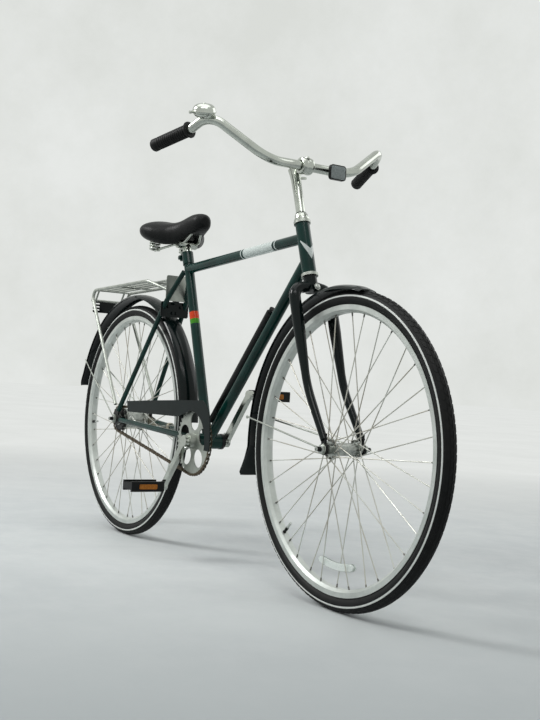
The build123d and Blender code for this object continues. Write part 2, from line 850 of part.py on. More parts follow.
stem_base = steer(head_tube_top_z + 26)
stem_top = steer(bar_z + 4)
with BuildPart() as stem:
    rod(stem_base, stem_top, quill_radius)
    rod(steer(bar_z), place(bar_x, 0, bar_z), 12)
    rod(place(bar_x, -15, bar_z), place(bar_x, 15, bar_z), 19)
    rod(place(bar_x - 4, 0, bar_z - 27), place(bar_x - 4, 0, bar_z - 10), 6)
    with BuildSketch(Plane(origin=place(bar_x, -16, bar_z), z_dir=(0, 1, 0))) as bore:
        Circle(bar_radius)
    extrude(bore.sketch, amount=32, mode=Mode.SUBTRACT)

bar_right = [
    place(bar_x, 0, bar_z),
    place(bar_x, bar_flat_half, bar_z),
    place(bar_low_x, bar_low_y, bar_low_z),
    place(bar_high_x, bar_high_y, bar_high_z),
    place(grip_front_x, grip_front_y, grip_front_z),
    place(grip_back_x, grip_back_y, grip_back_z),
]
with BuildPart() as handlebar:
    for side in (-1, 1):
        half_bar = [Vector(p.X, side * p.Y, p.Z) for p in bar_right]
        bent_rod(half_bar, bar_radius, [90, 90, 48, 60])

with BuildPart() as grips:
    for side in (-1, 1):
        front = place(grip_front_x, side * grip_front_y, grip_front_z)
        back = place(grip_back_x, side * grip_back_y, grip_back_z)
        run = (back - front).normalized()
        rod(back - run * grip_length, back + run * 4, grip_radius)
        rod(back - run * grip_length, back - run * (grip_length - 4), grip_radius + 4)
    add(handlebar.part, mode=Mode.SUBTRACT)

with BuildPart() as bell:
    bell_at = place(bar_high_x + 1, -bar_high_y - 15, bar_high_z + 2)
    bell_up = Vector(0.3, -0.2, 1).normalized()
    rod(bell_at + bell_up * -14, bell_at, 6)
    rod(bell_at, bell_at + bell_up * 12, 0.7 * bell_radius)
    rod(bell_at + bell_up * 11, bell_at + bell_up * 18, bell_radius)
    cap_radii = [bell_radius, 0.9 * bell_radius, 0.62 * bell_radius, 0.25 * bell_radius]
    cap_heights = [18, 18 + 0.4 * bell_cap, 18 + 0.8 * bell_cap, 18 + bell_cap]
    for i in range(3):
        cone_rod(bell_at + bell_up * cap_heights[i], bell_at + bell_up * cap_heights[i + 1], cap_radii[i], cap_radii[i + 1])
    add(handlebar.part, mode=Mode.SUBTRACT)

with BuildPart() as front_reflector:
    with BuildSketch(level(bar_x + 36, 66, bar_z - 11, (1, 0, 0))) as face:
        RectangleRounded(36, 46, 8)
    extrude(face.sketch, amount=8)
    rod(place(bar_x + 37, 66, bar_z - 11), place(bar_x + 4, 62, bar_z - 4), 4)
    add(handlebar.part, mode=Mode.SUBTRACT)

# Saddle, post, carrier, pump


with BuildPart() as seat_post:
    rod(seat_line(seat_tube_top_z - 110), seat_line(clamp_z + 4), post_radius)

with BuildPart() as saddle:
    with BuildSketch(level(rider_x, 0, saddle_base_z - 20, (0, 0, 1))) as plan:
        with BuildLine():
            tip_at = saddle_nose_x - rider_x
            tail_at = saddle_tail_x - rider_x
            left = [
                (tip_at - 18, 17),
                (tip_at - 60, 26),
                (tip_at - 112, 44),
                (-20, 0.86 * saddle_half_width),
                (tail_at + 38, saddle_half_width),
                (tail_at + 8, 0.84 * saddle_half_width),
            ]
            right = [(x, -y) for x, y in reversed(left)]
            Spline((tip_at, 0), *left, (tail_at + 2, 0), *right, periodic=True)
        make_face()
    extrude(plan.sketch, amount=100)
    profile_plane = Plane(origin=place(rider_x, saddle_half_width + 10, rider_z), x_dir=(1, 0, 0), z_dir=(0, -1, 0))
    with BuildSketch(profile_plane) as profile:
        with BuildLine():
            top = Spline((-106, -22), (-70, 4), (0, 0), (66, 8), (110, 16), (149, 0))
            nose = Line(top @ 1, (146, -20))
            low = Spline((146, -20), (70, -34), (-10, -50), (-60, -46), (-106, -38))
            Line(low @ 1, top @ 0)
        make_face()
    extrude(profile.sketch, amount=2 * saddle_half_width + 20, mode=Mode.INTERSECT)

with BuildPart() as saddle_rails:
    clamp = seat_line(clamp_z)
    for side in (-1, 1):
        nose_end = place(saddle_nose_x - 40, side * 9, rider_z - 24)
        rail_front = place(saddle_nose_x - 78, side * rail_y, clamp_z + 2)
        rail_rear = place(rider_x - 20, side * rail_y, clamp_z - 2)
        coil_foot = place(rider_x - 66, side * coil_y, rider_z - 43 - coil_height)
        bent_rod([nose_end, rail_front, rail_rear, coil_foot], rail_radius, [14, 14])
        with BuildLine() as turns:
            Helix(pitch=coil_pitch, height=coil_height, radius=coil_radius, center=coil_foot)
        with BuildSketch(Plane(origin=turns.line @ 0, z_dir=turns.line % 0)) as wire:
            Circle(rail_radius)
        sweep(sections=wire.sketch, path=turns.line)
    rod(clamp + Vector(0, -clamp_half, 0), clamp + Vector(0, clamp_half, 0), clamp_radius)
    add(seat_post.part, mode=Mode.SUBTRACT)
    add(saddle.part, mode=Mode.SUBTRACT)

with BuildPart() as seat_lug:
    collar = seat_line(seat_tube_top_z)
    rod(collar, collar + seat_up * -lug_length, seat_tube_radius + lug_wall)
    for side in (-1, 1):
        ear = collar + seat_up * -14 + Vector(-seat_tube_radius - 8, side * 5, 0)
        with BuildSketch(Plane(origin=ear, z_dir=(0, side, 0))) as tab:
            RectangleRounded(20, 18, 5)
        extrude(tab.sketch, amount=4)
    bolt = collar + seat_up * -14 + Vector(-seat_tube_radius - 12, 0, 0)
    rod(bolt + Vector(0, -16, 0), bolt + Vector(0, 16, 0), 3.5)
    for side in (-1, 1):
        rod(bolt + Vector(0, side * 9, 0), bolt + Vector(0, side * 15, 0), 6.5)
    add(seat_outside.part, mode=Mode.SUBTRACT)
    add(top_tube.part, mode=Mode.SUBTRACT)
    add(seat_stays.part, mode=Mode.SUBTRACT)

# The coaster hub's brake arm lies inside the left dropout and is clipped to the chain stay

with BuildPart() as brake_arm:
    arm_y = rear_half + side_gap + 0.4
    clip_x = 168
    stay_share = (clip_x - 34) / (bracket_x - 14 - 34)
    clip_y = rear_dropout_y + (chain_stay_front_y - rear_dropout_y) * stay_share
    clip_z = tyre_radius - 2 + (bracket_z + 3 - tyre_radius + 2) * stay_share
    with BuildSketch(Plane(origin=place(0, arm_y, 0), x_dir=(-1, 0, 0), z_dir=(0, 1, 0))) as arm:
        with BuildLine():
            Polyline(
                (6, tyre_radius + 13),
                (-10, tyre_radius + 12),
                (-clip_x - 18, clip_z - 19),
                (-clip_x - 18, clip_z - 33),
                (-8, tyre_radius - 14),
                (10, tyre_radius - 11),
                close=True,
            )
        make_face()
        with Locations((0, tyre_radius)):
            Circle(axle_nut_radius, mode=Mode.SUBTRACT)
    extrude(arm.sketch, amount=arm_thickness)
    strap_radius = chain_stay_rear_radius + 1.6
    with BuildSketch(Plane(origin=place(clip_x - 7, clip_y, clip_z), z_dir=(1, 0, 0))) as strap:
        Circle(strap_radius + 1.6)
        with Locations((0, -14)):
            Rectangle(7, 28)
    extrude(strap.sketch, amount=14)
    rod(place(clip_x, clip_y - 8, clip_z - 22), place(clip_x, arm_y + 6, clip_z - 22), 3.5)
    rod(place(clip_x, arm_y + arm_thickness, clip_z - 22), place(clip_x, arm_y + 6, clip_z - 22), 5.5)
    add(chain_stays.part, mode=Mode.SUBTRACT)


def make_guard_stays(guard, x, radius, eye_y, angle):
    """A thin stay each side, from an eye on the axle to the mudguard's edge."""
    end_x, end_z = polar(radius - guard_crown - 1, angle)
    with BuildPart() as stays:
        for side in (-1, 1):
            foot_x, foot_z = polar(12, angle)
            foot = place(x + foot_x, side * eye_y, tyre_radius + foot_z)
            end = place(x + end_x, side * (guard_half_width + 1), tyre_radius + end_z)
            past_x, past_z = polar(8, angle)
            rod(foot, end + Vector(past_x, 0, past_z), guard_stay_radius)
            with BuildSketch(Plane(origin=place(x, side * eye_y, tyre_radius), z_dir=(0, side, 0))) as eye:
                Circle(axle_nut_radius + 4)
                Circle(axle_nut_radius + 0.2, mode=Mode.SUBTRACT)
            extrude(eye.sketch, amount=1.5, both=True)
        add(guard.part, mode=Mode.SUBTRACT)
    return stays


rear_eye_y = rear_dropout_y + dropout_thickness / 2 + 3
rear_guard_stays = make_guard_stays(rear_mudguard, 0, rear_guard_radius, rear_eye_y, 152)
front_eye_y = front_dropout_y + dropout_thickness / 2 + 3
front_guard_stays = make_guard_stays(front_mudguard, wheelbase, front_guard_radius, front_eye_y, 188)

with BuildPart() as crown_bracket:
    crown = steer(shoulder_z)
    forward = Vector(sin(radians(head_angle)), 0, cos(radians(head_angle)))
    rod(crown + forward * 14, crown + forward * 25, 4)
    rod(crown + forward * 18.3, crown + forward * 24, 7.5)
    plate_top = crown + forward * 16.3
    with BuildSketch(Plane(origin=plate_top, x_dir=(0, 1, 0), z_dir=forward)) as tab:
        with BuildLine():
            Polyline((-9, 9), (9, 9), (5, -22), (-5, -22), close=True)
        make_face()
    extrude(tab.sketch, amount=2)
    add(fork_steerer.part, mode=Mode.SUBTRACT)
    add(fork_blades.part, mode=Mode.SUBTRACT)
    add(front_mudguard.part, mode=Mode.SUBTRACT)

with BuildPart() as rack_frame:
    for side in (-1, 1):
        bent_rod(
            [
                place(18, side * (rear_dropout_y + 12), tyre_radius + 44),
                place(rack_rear_x + 4, side * rack_half_width, rack_z - 4),
                place(rack_front_x, side * rack_half_width, rack_z + 7),
                place(rack_plate_x, side * rack_front_half, rack_z - 19),
            ],
            rack_tube_radius,
            [22, 40],
        )
    for bar_at in (rack_rear_x + 40, (rack_rear_x + rack_front_x) / 2, rack_front_x - 20):
        bar_height = rack_z + 7 - (rack_front_x - bar_at) * 11 / (rack_front_x - rack_rear_x)
        rod(place(bar_at, -rack_half_width, bar_height), place(bar_at, rack_half_width, bar_height), rack_bar_radius)
    for side in (-1, 0, 1):
        rod(
            place(rack_rear_x + 38, side * rack_bar_step, rack_z - 2),
            place(rack_plate_x, side * rack_bar_step, rack_z + 10),
            rack_bar_radius,
        )
    rear_plate_x = rack_rear_x + 6
    rod(place(rear_plate_x, -rack_half_width + 2, rack_z - 34), place(rear_plate_x, rack_half_width - 2, rack_z - 34), 4)
    for side in (-1, 1):
        rod(place(rear_plate_x, side * 44, rack_z - 34), place(rack_rear_x + 30, side * 44, rack_z - 2), 3)
    front_plate = Plane(origin=place(rack_plate_x, 0, rack_z - 14), x_dir=(0, 1, 0), z_dir=(1, 0, 0))
    with BuildSketch(front_plate) as sheet:
        RectangleRounded(2 * rack_front_half + 10, 73, 6)
    extrude(sheet.sketch, amount=2)
    add(seat_stays.part, mode=Mode.SUBTRACT)

with BuildPart() as rack_bracket:
    bridge = Plane(origin=place(rack_plate_x - 14, 0, rack_z - 74), x_dir=(0, 1, 0), z_dir=(1, 0, 0))
    with BuildSketch(bridge) as cross:
        RectangleRounded(88, 44, 6)
    extrude(cross.sketch, amount=3)
    with BuildSketch(Plane(origin=place(rack_plate_x - 12, 0, rack_z - 50), z_dir=(1, 0, 0))) as joint:
        RectangleRounded(20, 16, 3)
    extrude(joint.sketch, amount=12)
    for side in (-1, 1):
        rod(place(rack_plate_x - 19, side * 20, rack_z - 66), place(rack_plate_x - 6, side * 20, rack_z - 66), 4.5)
        rod(place(rack_plate_x - 12, side * 6, rack_z - 84), place(rack_plate_x - 6, side * 6, rack_z - 84), 4.5)
    rear_plate = Plane(origin=place(rear_plate_x - 5, 0, rack_z - 53), x_dir=(0, 1, 0), z_dir=(-1, 0, 0))
    with BuildSketch(rear_plate) as plate:
        RectangleRounded(100, 38, 4)
        for side in (-1, 1):
            for step in (-10, 0, 10):
                with Locations((side * 44, step)):
                    SlotOverall(34, 4, mode=Mode.SUBTRACT)
    extrude(plate.sketch, amount=2)
    add(seat_stays.part, mode=Mode.SUBTRACT)
    add(rack_frame.part, mode=Mode.SUBTRACT)
    add(rear_mudguard.part, mode=Mode.SUBTRACT)

with BuildPart() as pump:
    tube_run = (steer(down_tube_head_z) - bracket).normalized()
    lift = Vector(-tube_run.Z, 0, tube_run.X)
    pump_axis = bracket + lift * (down_tube_radius + pump_radius + 3)
    rod(pump_axis + tube_run * pump_from, pump_axis + tube_run * (pump_from + pump_length), pump_radius)
    for at in (pump_from - 12, pump_from + pump_length):
        rod(pump_axis + tube_run * at, pump_axis + tube_run * (at + 12), pump_radius - 3)
    for at in (pump_from - 12, pump_from + pump_length + 6):
        peg = bracket + tube_run * (at + 3)
        rod(peg + lift * (down_tube_radius - 1), peg + lift * (down_tube_radius + pump_radius + 2), 4)
    add(down_tube.part, mode=Mode.SUBTRACT)

pieces = {
    "front_tyre": front_tyre,
    "front_rim": front_rim,
    "front_spokes": front_spokes,
    "front_hub": front_hub,
    "rear_tyre": rear_tyre,
    "rear_rim": rear_rim,
    "rear_spokes": rear_spokes,
    "rear_hub": rear_hub,
    "rear_sprocket": rear_sprocket,
    "head_tube": head_tube,
    "top_tube": top_tube,
    "down_tube": down_tube,
    "seat_tube": seat_tube,
    "bottom_bracket_shell": bottom_bracket_shell,
    "chain_stays": chain_stays,
    "seat_stays": seat_stays,
    "rear_dropouts": rear_dropouts,
    "rear_axle": rear_axle_set,
    "headset_cups": headset_cups,
    "seat_post": seat_post,
    "saddle": saddle,
    "bracket_cups": bracket_cups,
    "chain": chain,
    "chain_guard": chain_guard,
    "rear_mudguard": rear_mudguard,
    "rack_frame": rack_frame,
    "rack_bracket": rack_bracket,
    "saddle_rails": saddle_rails,
    "seat_lug": seat_lug,
    "brake_arm": brake_arm,
    "rear_guard_stays": rear_guard_stays,
    "front_guard_stays": front_guard_stays,
    "front_flap": front_flap,
    "crown_bracket": crown_bracket,
    "pedal_right_reflectors": pedal_right_reflectors,
    "pedal_left_reflectors": pedal_left_reflectors,
    "pump": pump,
    "fork_steerer": fork_steerer,
    "fork_blades": fork_blades,
    "fork_dropouts": fork_dropouts,
    "front_axle": front_axle_set,
    "headset_locknut": headset_locknut,
    "stem": stem,
    "handlebar": handlebar,
    "grips": grips,
    "bell": bell,
    "front_reflector": front_reflector,
    "front_mudguard": front_mudguard,
    "crank_spindle": crank_spindle,
    "crank_right": crank_right,
    "crank_left": crank_left,
    "chainring": chainring,
    "pedal_axle_right": pedal_axle_right,
    "pedal_axle_left": pedal_axle_left,
    "pedal_right": pedal_right,
    "pedal_left": pedal_left,
}
for name, piece in pieces.items():
    piece.part.label = name
    export_step(piece.part, f"parts/{name}.step")
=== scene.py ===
import math

import bmesh
import bpy
from mathutils import Matrix, Vector


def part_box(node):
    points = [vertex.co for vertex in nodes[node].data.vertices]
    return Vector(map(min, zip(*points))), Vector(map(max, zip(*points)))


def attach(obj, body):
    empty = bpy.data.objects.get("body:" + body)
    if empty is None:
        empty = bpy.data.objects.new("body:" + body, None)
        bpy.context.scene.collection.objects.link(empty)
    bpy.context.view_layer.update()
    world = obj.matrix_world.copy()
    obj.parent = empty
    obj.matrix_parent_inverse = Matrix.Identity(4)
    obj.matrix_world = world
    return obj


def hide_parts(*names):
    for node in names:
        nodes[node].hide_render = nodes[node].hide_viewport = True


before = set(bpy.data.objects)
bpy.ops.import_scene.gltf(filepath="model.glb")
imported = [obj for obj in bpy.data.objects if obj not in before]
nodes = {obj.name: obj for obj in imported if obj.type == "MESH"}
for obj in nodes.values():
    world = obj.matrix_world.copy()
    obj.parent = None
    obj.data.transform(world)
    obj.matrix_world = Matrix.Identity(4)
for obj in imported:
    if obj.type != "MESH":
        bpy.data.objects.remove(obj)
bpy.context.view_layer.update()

# Driving sizes in millimetres; places are from the ground below the rear axle.
# The badge and the crown bolt are set from trim_x, the stem's collar and the bell from clamp_x.
rider_x = 250
rider_z = 925
wheelbase = 1083
tyre_radius = 349.0
tyre_width = 37.0
bead_half = 11.6
bead_radius = 308.4
nipple_seat = 298.9
head_x = 903.43
trim_x = 903.4
head_z = 771
head_angle = math.radians(71)
head_tube_top = 863
crown_z = 704
bar_x = 869.43
clamp_x = 869.4
bar_z = 1001
bar_radius = 11.1
grip_front = (784, 265, 1056)
grip_back = (674, 300, 1031)
bracket = (480.0, 319.0)
chain_y = -43
chain_pitch = 12.7
ring_radius = chain_pitch / (2 * math.sin(math.pi / 44))
sprocket_radius = chain_pitch / (2 * math.sin(math.pi / 18))

full_turn = 2 * math.pi
along_y = Vector((0, 1, 0))
along_z = Vector((0, 0, 1))
head_up = Vector((-math.cos(head_angle), 0, math.sin(head_angle)))
head_forward = Vector((head_up.z, 0, -head_up.x))


def metres(length):
    return length / 1000


def place(x, y, z):
    """A point given in mm from the rear axle and the ground, in the row frame."""
    return Vector(((x - rider_x) / 1000, y / 1000, (z - rider_z) / 1000))


def steer(z, foot_x=head_x):
    """The steering axis at height z in mm; foot_x is its place at the foot of the head tube."""
    return place(foot_x - (z - head_z) / math.tan(head_angle), 0, z)


def polar(radius, degrees):
    angle = math.radians(degrees)
    return radius * math.cos(angle), radius * math.sin(angle)


# Materials


def new_material(name):
    material = bpy.data.materials.new(name)
    material.use_nodes = True
    tree = material.node_tree
    tree.nodes.clear()
    out = tree.nodes.new("ShaderNodeOutputMaterial")
    shader = tree.nodes.new("ShaderNodeBsdfPrincipled")
    tree.links.new(shader.outputs[0], out.inputs[0])
    return material, tree, shader


def object_coords(tree):
    return tree.nodes.new("ShaderNodeTexCoord").outputs["Object"]


def noise(tree, coords, scale, detail=4, rough=0.55):
    node = tree.nodes.new("ShaderNodeTexNoise")
    node.inputs["Scale"].default_value = scale
    node.inputs["Detail"].default_value = detail
    node.inputs["Roughness"].default_value = rough
    tree.links.new(coords, node.inputs["Vector"])
    return node.outputs[0]


def remap(tree, value, from_min, from_max, to_min, to_max):
    node = tree.nodes.new("ShaderNodeMapRange")
    for i, limit in enumerate((from_min, from_max, to_min, to_max), start=1):
        node.inputs[i].default_value = limit
    tree.links.new(value, node.inputs[0])
    return node.outputs[0]


def calculate(tree, operation, *values):
    node = tree.nodes.new("ShaderNodeMath")
    node.operation = operation
    for i, value in enumerate(values):
        if isinstance(value, (int, float)):
            node.inputs[i].default_value = value
        else:
            tree.links.new(value, node.inputs[i])
    return node.outputs[0]


def vector_value(tree, operation, coords, other=None):
    """The length of a vector, or its dot product with another."""
    node = tree.nodes.new("ShaderNodeVectorMath")
    node.operation = operation
    tree.links.new(coords, node.inputs[0])
    if other is not None:
        node.inputs[1].default_value = other
    return node.outputs["Value"]


def mix_colour(tree, factor, first, second):
    node = tree.nodes.new("ShaderNodeMix")
    node.data_type = "RGBA"
    for i, value in ((0, factor), (6, first), (7, second)):
        if isinstance(value, tuple):
            node.inputs[i].default_value = (*value, 1)
        else:
            tree.links.new(value, node.inputs[i])
    return node.outputs[2]


def cloudy(tree, coords, scale, dark, light, detail=4, rough=0.55):
    """A colour that wanders between dark and light."""
    cloud = noise(tree, coords, scale, detail, rough)
    return mix_colour(tree, remap(tree, cloud, 0.35, 0.65, 0, 1), dark, light)


def surface(name, dark, light, rough, metallic=0.0, grain=40, fine=600, height=0.1, coat=0.0, specular=0.5):
    """A finish with cloudy colour, uneven gloss and a fine bump."""
    material, tree, shader = new_material(name)
    coords = object_coords(tree)
    tree.links.new(cloudy(tree, coords, grain, dark, light), shader.inputs["Base Color"])
    speck = noise(tree, coords, fine, 3)
    tree.links.new(remap(tree, speck, 0.3, 0.7, *rough), shader.inputs["Roughness"])
    shader.inputs["Metallic"].default_value = metallic
    shader.inputs["Coat Weight"].default_value = coat
    shader.inputs["Coat Roughness"].default_value = 0.06
    shader.inputs["Specular IOR Level"].default_value = specular
    relief = tree.nodes.new("ShaderNodeBump")
    relief.inputs["Strength"].default_value = height
    relief.inputs["Distance"].default_value = 0.0006
    tree.links.new(speck, relief.inputs["Height"])
    tree.links.new(relief.outputs[0], shader.inputs["Normal"])
    return material


green = surface("green_lacquer", (0.0018, 0.020, 0.016), (0.0035, 0.036, 0.029), (0.13, 0.2),
                grain=14, fine=900, height=0.015, coat=0.06, specular=0.2)
black_green = surface("dark_lacquer", (0.002, 0.0045, 0.0045), (0.003, 0.008, 0.0075), (0.12, 0.2),
                      grain=14, fine=900, height=0.015, coat=0.06, specular=0.16)
guard_paint = surface("guard_paint", (0.0012, 0.0048, 0.0048), (0.0025, 0.0075, 0.0075), (0.3, 0.42),
                      grain=20, fine=800, height=0.03, specular=0.12)
black_plastic = surface("black_plastic", (0.003, 0.0035, 0.0035), (0.006, 0.007, 0.007), (0.35, 0.5),
                        grain=50, fine=1400, height=0.1, specular=0.2)
rubber = surface("rubber", (0.003, 0.0035, 0.0035), (0.006, 0.0065, 0.0065), (0.45, 0.62),
                 grain=60, fine=1600, height=0.15, specular=0.18)
leather = surface("saddle_cover", (0.0035, 0.004, 0.004), (0.006, 0.007, 0.007), (0.36, 0.48),
                  grain=30, fine=420, height=0.2, specular=0.14)
chrome = surface("chrome", (0.44, 0.46, 0.42), (0.53, 0.56, 0.51), (0.13, 0.19),
                 metallic=1.0, grain=24, fine=60, height=0.0)
silver = surface("silver", (0.32, 0.34, 0.31), (0.42, 0.44, 0.40), (0.38, 0.48),
                 metallic=0.9, grain=40, fine=700, height=0.0)
rim_metal = surface("rim_metal", (0.50, 0.53, 0.50), (0.60, 0.63, 0.60), (0.34, 0.46),
                    metallic=0.6, grain=30, fine=1400, height=0.04)
spoke_metal = surface("spoke_metal", (0.47, 0.44, 0.37), (0.64, 0.66, 0.61), (0.3, 0.42),
                      metallic=0.3, grain=7, fine=700, height=0.0)
zinc = surface("zinc", (0.30, 0.32, 0.30), (0.48, 0.50, 0.47), (0.26, 0.42),
               metallic=0.9, grain=110, fine=1300, height=0.06)
nipple_metal = surface("nipple_metal", (0.10, 0.10, 0.09), (0.20, 0.20, 0.18), (0.35, 0.5),
                       metallic=0.6, grain=90, fine=1300, height=0.04)
dark_steel = surface("dark_steel", (0.004, 0.005, 0.005), (0.009, 0.010, 0.010), (0.3, 0.45),
                     metallic=0.2, grain=90, fine=1300, height=0.06, specular=0.25)
chain_steel = surface("chain_steel", (0.06, 0.047, 0.03), (0.13, 0.10, 0.065), (0.35, 0.55),
                      metallic=0.7, grain=160, fine=1800, height=0.08)
clip_metal = surface("clip_metal", (0.30, 0.28, 0.22), (0.45, 0.42, 0.33), (0.4, 0.55),
                     metallic=0.6, grain=110, fine=1500, height=0.08)
amber = surface("amber", (0.28, 0.09, 0.008), (0.42, 0.15, 0.015), (0.2, 0.35),
                grain=300, fine=1500, height=0.2, specular=0.3)
lens_grey = surface("lens_grey", (0.16, 0.19, 0.185), (0.24, 0.275, 0.27), (0.12, 0.22),
                    grain=260, fine=1500, height=0.2, coat=0.3)
lens_pale = surface("lens_pale", (0.68, 0.74, 0.70), (0.76, 0.81, 0.77), (0.2, 0.3),
                    grain=260, fine=1500, height=0.2, coat=0.2)
stripe_white = surface("stripe_white", (0.62, 0.65, 0.62), (0.72, 0.74, 0.70), (0.5, 0.65),
                       grain=90, fine=1500, height=0.05)
pale_decal = surface("pale_decal", (0.56, 0.62, 0.59), (0.64, 0.69, 0.66), (0.25, 0.35),
                     grain=60, fine=1500, height=0.02)


def banded(name, base, along, bands):
    """The finish of base with bands of other colours; a band is two (x, z) places on the tube and a tint."""
    material = base.copy()
    material.name = name
    tree = material.node_tree
    shader = next(node for node in tree.nodes if node.type == "BSDF_PRINCIPLED")
    colour = shader.inputs["Base Color"].links[0].from_socket
    distance = vector_value(tree, "DOT_PRODUCT", object_coords(tree), along)
    for start, end, tint in bands:
        first = place(start[0], 0, start[1]).dot(along)
        last = place(end[0], 0, end[1]).dot(along)
        inside = calculate(tree, "COMPARE", distance, (first + last) / 2, abs(last - first) / 2)
        colour = mix_colour(tree, inside, colour, tint)
    tree.links.new(colour, shader.inputs["Base Color"])
    return material


def paint(obj, material):
    obj.data.materials.clear()
    obj.data.materials.append(material)


pale = (0.58, 0.64, 0.61)
red = (0.60, 0.05, 0.012)
leaf = (0.05, 0.26, 0.012)
top_tube_finish = banded("top_tube_finish", green, (place(903, 0, 829) - place(314, 0, 791)).normalized(), [
    ((625, 811), (761, 820), pale),
    ((612, 810), (616, 810), pale),
    ((770, 820), (774, 821), pale),
])
seat_tube_finish = banded("seat_tube_finish", green, (place(314, 0, 790) - place(439, 0, 435)).normalized(), [
    ((358, 645), (351, 665), red),
    ((362, 632), (358, 645), leaf),
])

finishes = [
    (green, "head_tube down_tube bottom_bracket_shell chain_stays seat_stays seat_lug"),
    (top_tube_finish, "top_tube"),
    (seat_tube_finish, "seat_tube"),
    (black_green, "fork_blades fork_steerer rear_mudguard front_mudguard crown_bracket rack_bracket"),
    (dark_steel, "bracket_cups rear_dropouts fork_dropouts rear_sprocket front_reflector"),
    (guard_paint, "chain_guard"),
    (black_plastic, "pump front_flap pedal_right pedal_left"),
    (chrome, "seat_post stem handlebar bell headset_locknut crank_right crank_left saddle_rails"),
    (silver, "rack_frame chainring headset_cups front_guard_stays rear_guard_stays"),
    (rim_metal, "front_rim rear_rim"),
    (spoke_metal, "front_spokes rear_spokes"),
    (zinc, "front_hub rear_hub front_axle rear_axle crank_spindle pedal_axle_right pedal_axle_left"),
    (chain_steel, "chain"),
    (clip_metal, "brake_arm"),
    (amber, "pedal_right_reflectors pedal_left_reflectors"),
    (rubber, "front_tyre rear_tyre grips"),
    (leather, "saddle"),
]
for finish, names in finishes:
    for node_name in names.split():
        paint(nodes[node_name], finish)

# Mesh helpers


def make_object(name, bm, materials, body, crease=math.radians(40)):
    """A smooth piece with sharp edges where its faces meet at more than the crease angle."""
    bmesh.ops.recalc_face_normals(bm, faces=bm.faces)
    for face in bm.faces:
        face.smooth = True
    for edge in bm.edges:
        if len(edge.link_faces) == 2 and edge.calc_face_angle(0) > crease:
            edge.smooth = False
    mesh = bpy.data.meshes.new(name)
    bm.to_mesh(mesh)
    bm.free()
    obj = bpy.data.objects.new(name, mesh)
    bpy.context.scene.collection.objects.link(obj)
    for material in materials:
        mesh.materials.append(material)
    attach(obj, body)
    return obj


def turned(bm, centre, axis, profile, steps, slot=0, closed=False, ref=Vector((0.31, 0.17, 0.93))):
    """Revolves a profile of (distance along the axis, radius) points."""
    axis = axis.normalized()
    across = ref.cross(axis).normalized()
    side = axis.cross(across)
    rings = []
    for i in range(steps):
        angle = full_turn * i / steps
        out = across * math.cos(angle) + side * math.sin(angle)
        points = [centre + axis * metres(d) + out * metres(max(r, 0.01)) for d, r in profile]
        rings.append([bm.verts.new(point) for point in points])
    count = len(profile)
    for i in range(steps):
        a, b = rings[i], rings[(i + 1) % steps]
        for j in range(count if closed else count - 1):
            k = (j + 1) % count
            bm.faces.new((a[j], b[j], b[k], a[k])).material_index = slot


def skin(bm, rings):
    """Joins closed rings into a tube with both ends shut."""
    count = len(rings[0])
    for a, b in zip(rings, rings[1:]):
        for j in range(count):
            k = (j + 1) % count
            bm.faces.new((a[j], a[k], b[k], b[j]))
    bm.faces.new(list(reversed(rings[0])))
    bm.faces.new(rings[-1])


def sheet(bm, rows):
    """Joins open rows of points into a sheet."""
    for a, b in zip(rows, rows[1:]):
        for j in range(len(a) - 1):
            bm.faces.new((a[j], a[j + 1], b[j + 1], b[j]))


def hexagon(bm, centre, axis, radius, length, chamfer=0.6):
    """A hexagonal nut or bolt head with a chamfered outer face."""
    profile = [(0, 0), (0, radius), (length - chamfer, radius), (length, radius - chamfer * 1.6), (length, 0)]
    turned(bm, centre, axis, profile, 6)


def bolt_head(bm, centre, axis, radius, height):
    """A round domed head."""
    profile = [(0, 0), (0, radius)]
    for i in range(5):
        angle = i / 4 * math.pi / 2
        profile.append((height * (0.35 + 0.65 * math.sin(angle)), radius * math.cos(angle) * 0.96))
    turned(bm, centre, axis, profile, 20)


def wire(bm, points, radius, steps=12):
    """A round wire through points, with a ring at each."""
    rings = []
    for i, point in enumerate(points):
        run = (points[min(i + 1, len(points) - 1)] - points[max(i - 1, 0)]).normalized()
        u = run.cross(along_z if abs(run.z) < 0.9 else along_y).normalized()
        v = run.cross(u)
        ring = []
        for k in range(steps):
            angle = full_turn * k / steps
            ring.append(bm.verts.new(point + (u * math.cos(angle) + v * math.sin(angle)) * metres(radius)))
        rings.append(ring)
    skin(bm, rings)


def filleted(points, radii, step):
    """The points of a polyline with its corners rounded to radii in metres."""
    out = [points[0]]
    for before, corner, after, radius in zip(points, points[1:], points[2:], radii):
        u = (before - corner).normalized()
        v = (after - corner).normalized()
        half = math.acos(max(-1, min(1, u.dot(v)))) / 2
        centre = corner + (u + v).normalized() * (radius / math.sin(half))
        first = corner + u * (radius / math.tan(half)) - centre
        last = corner + v * (radius / math.tan(half)) - centre
        turn = first.angle(last)
        count = max(2, int(turn / step))
        for i in range(count + 1):
            t = i / count
            spoke = first * math.sin((1 - t) * turn) + last * math.sin(t * turn)
            out.append(centre + spoke / math.sin(turn))
    out.append(points[-1])
    return out


# Tyres

tread_blocks = 110
tread_rows = [(-46, -27, 0.5), (-21, -3, 0.0), (3, 21, 0.5), (27, 46, 0.0)]
tread_rise = 0.88
carcass_radius = tyre_width / 2 - 0.9
carcass_mid = tyre_radius - tyre_width / 2
stripe_edges = (68, 82)


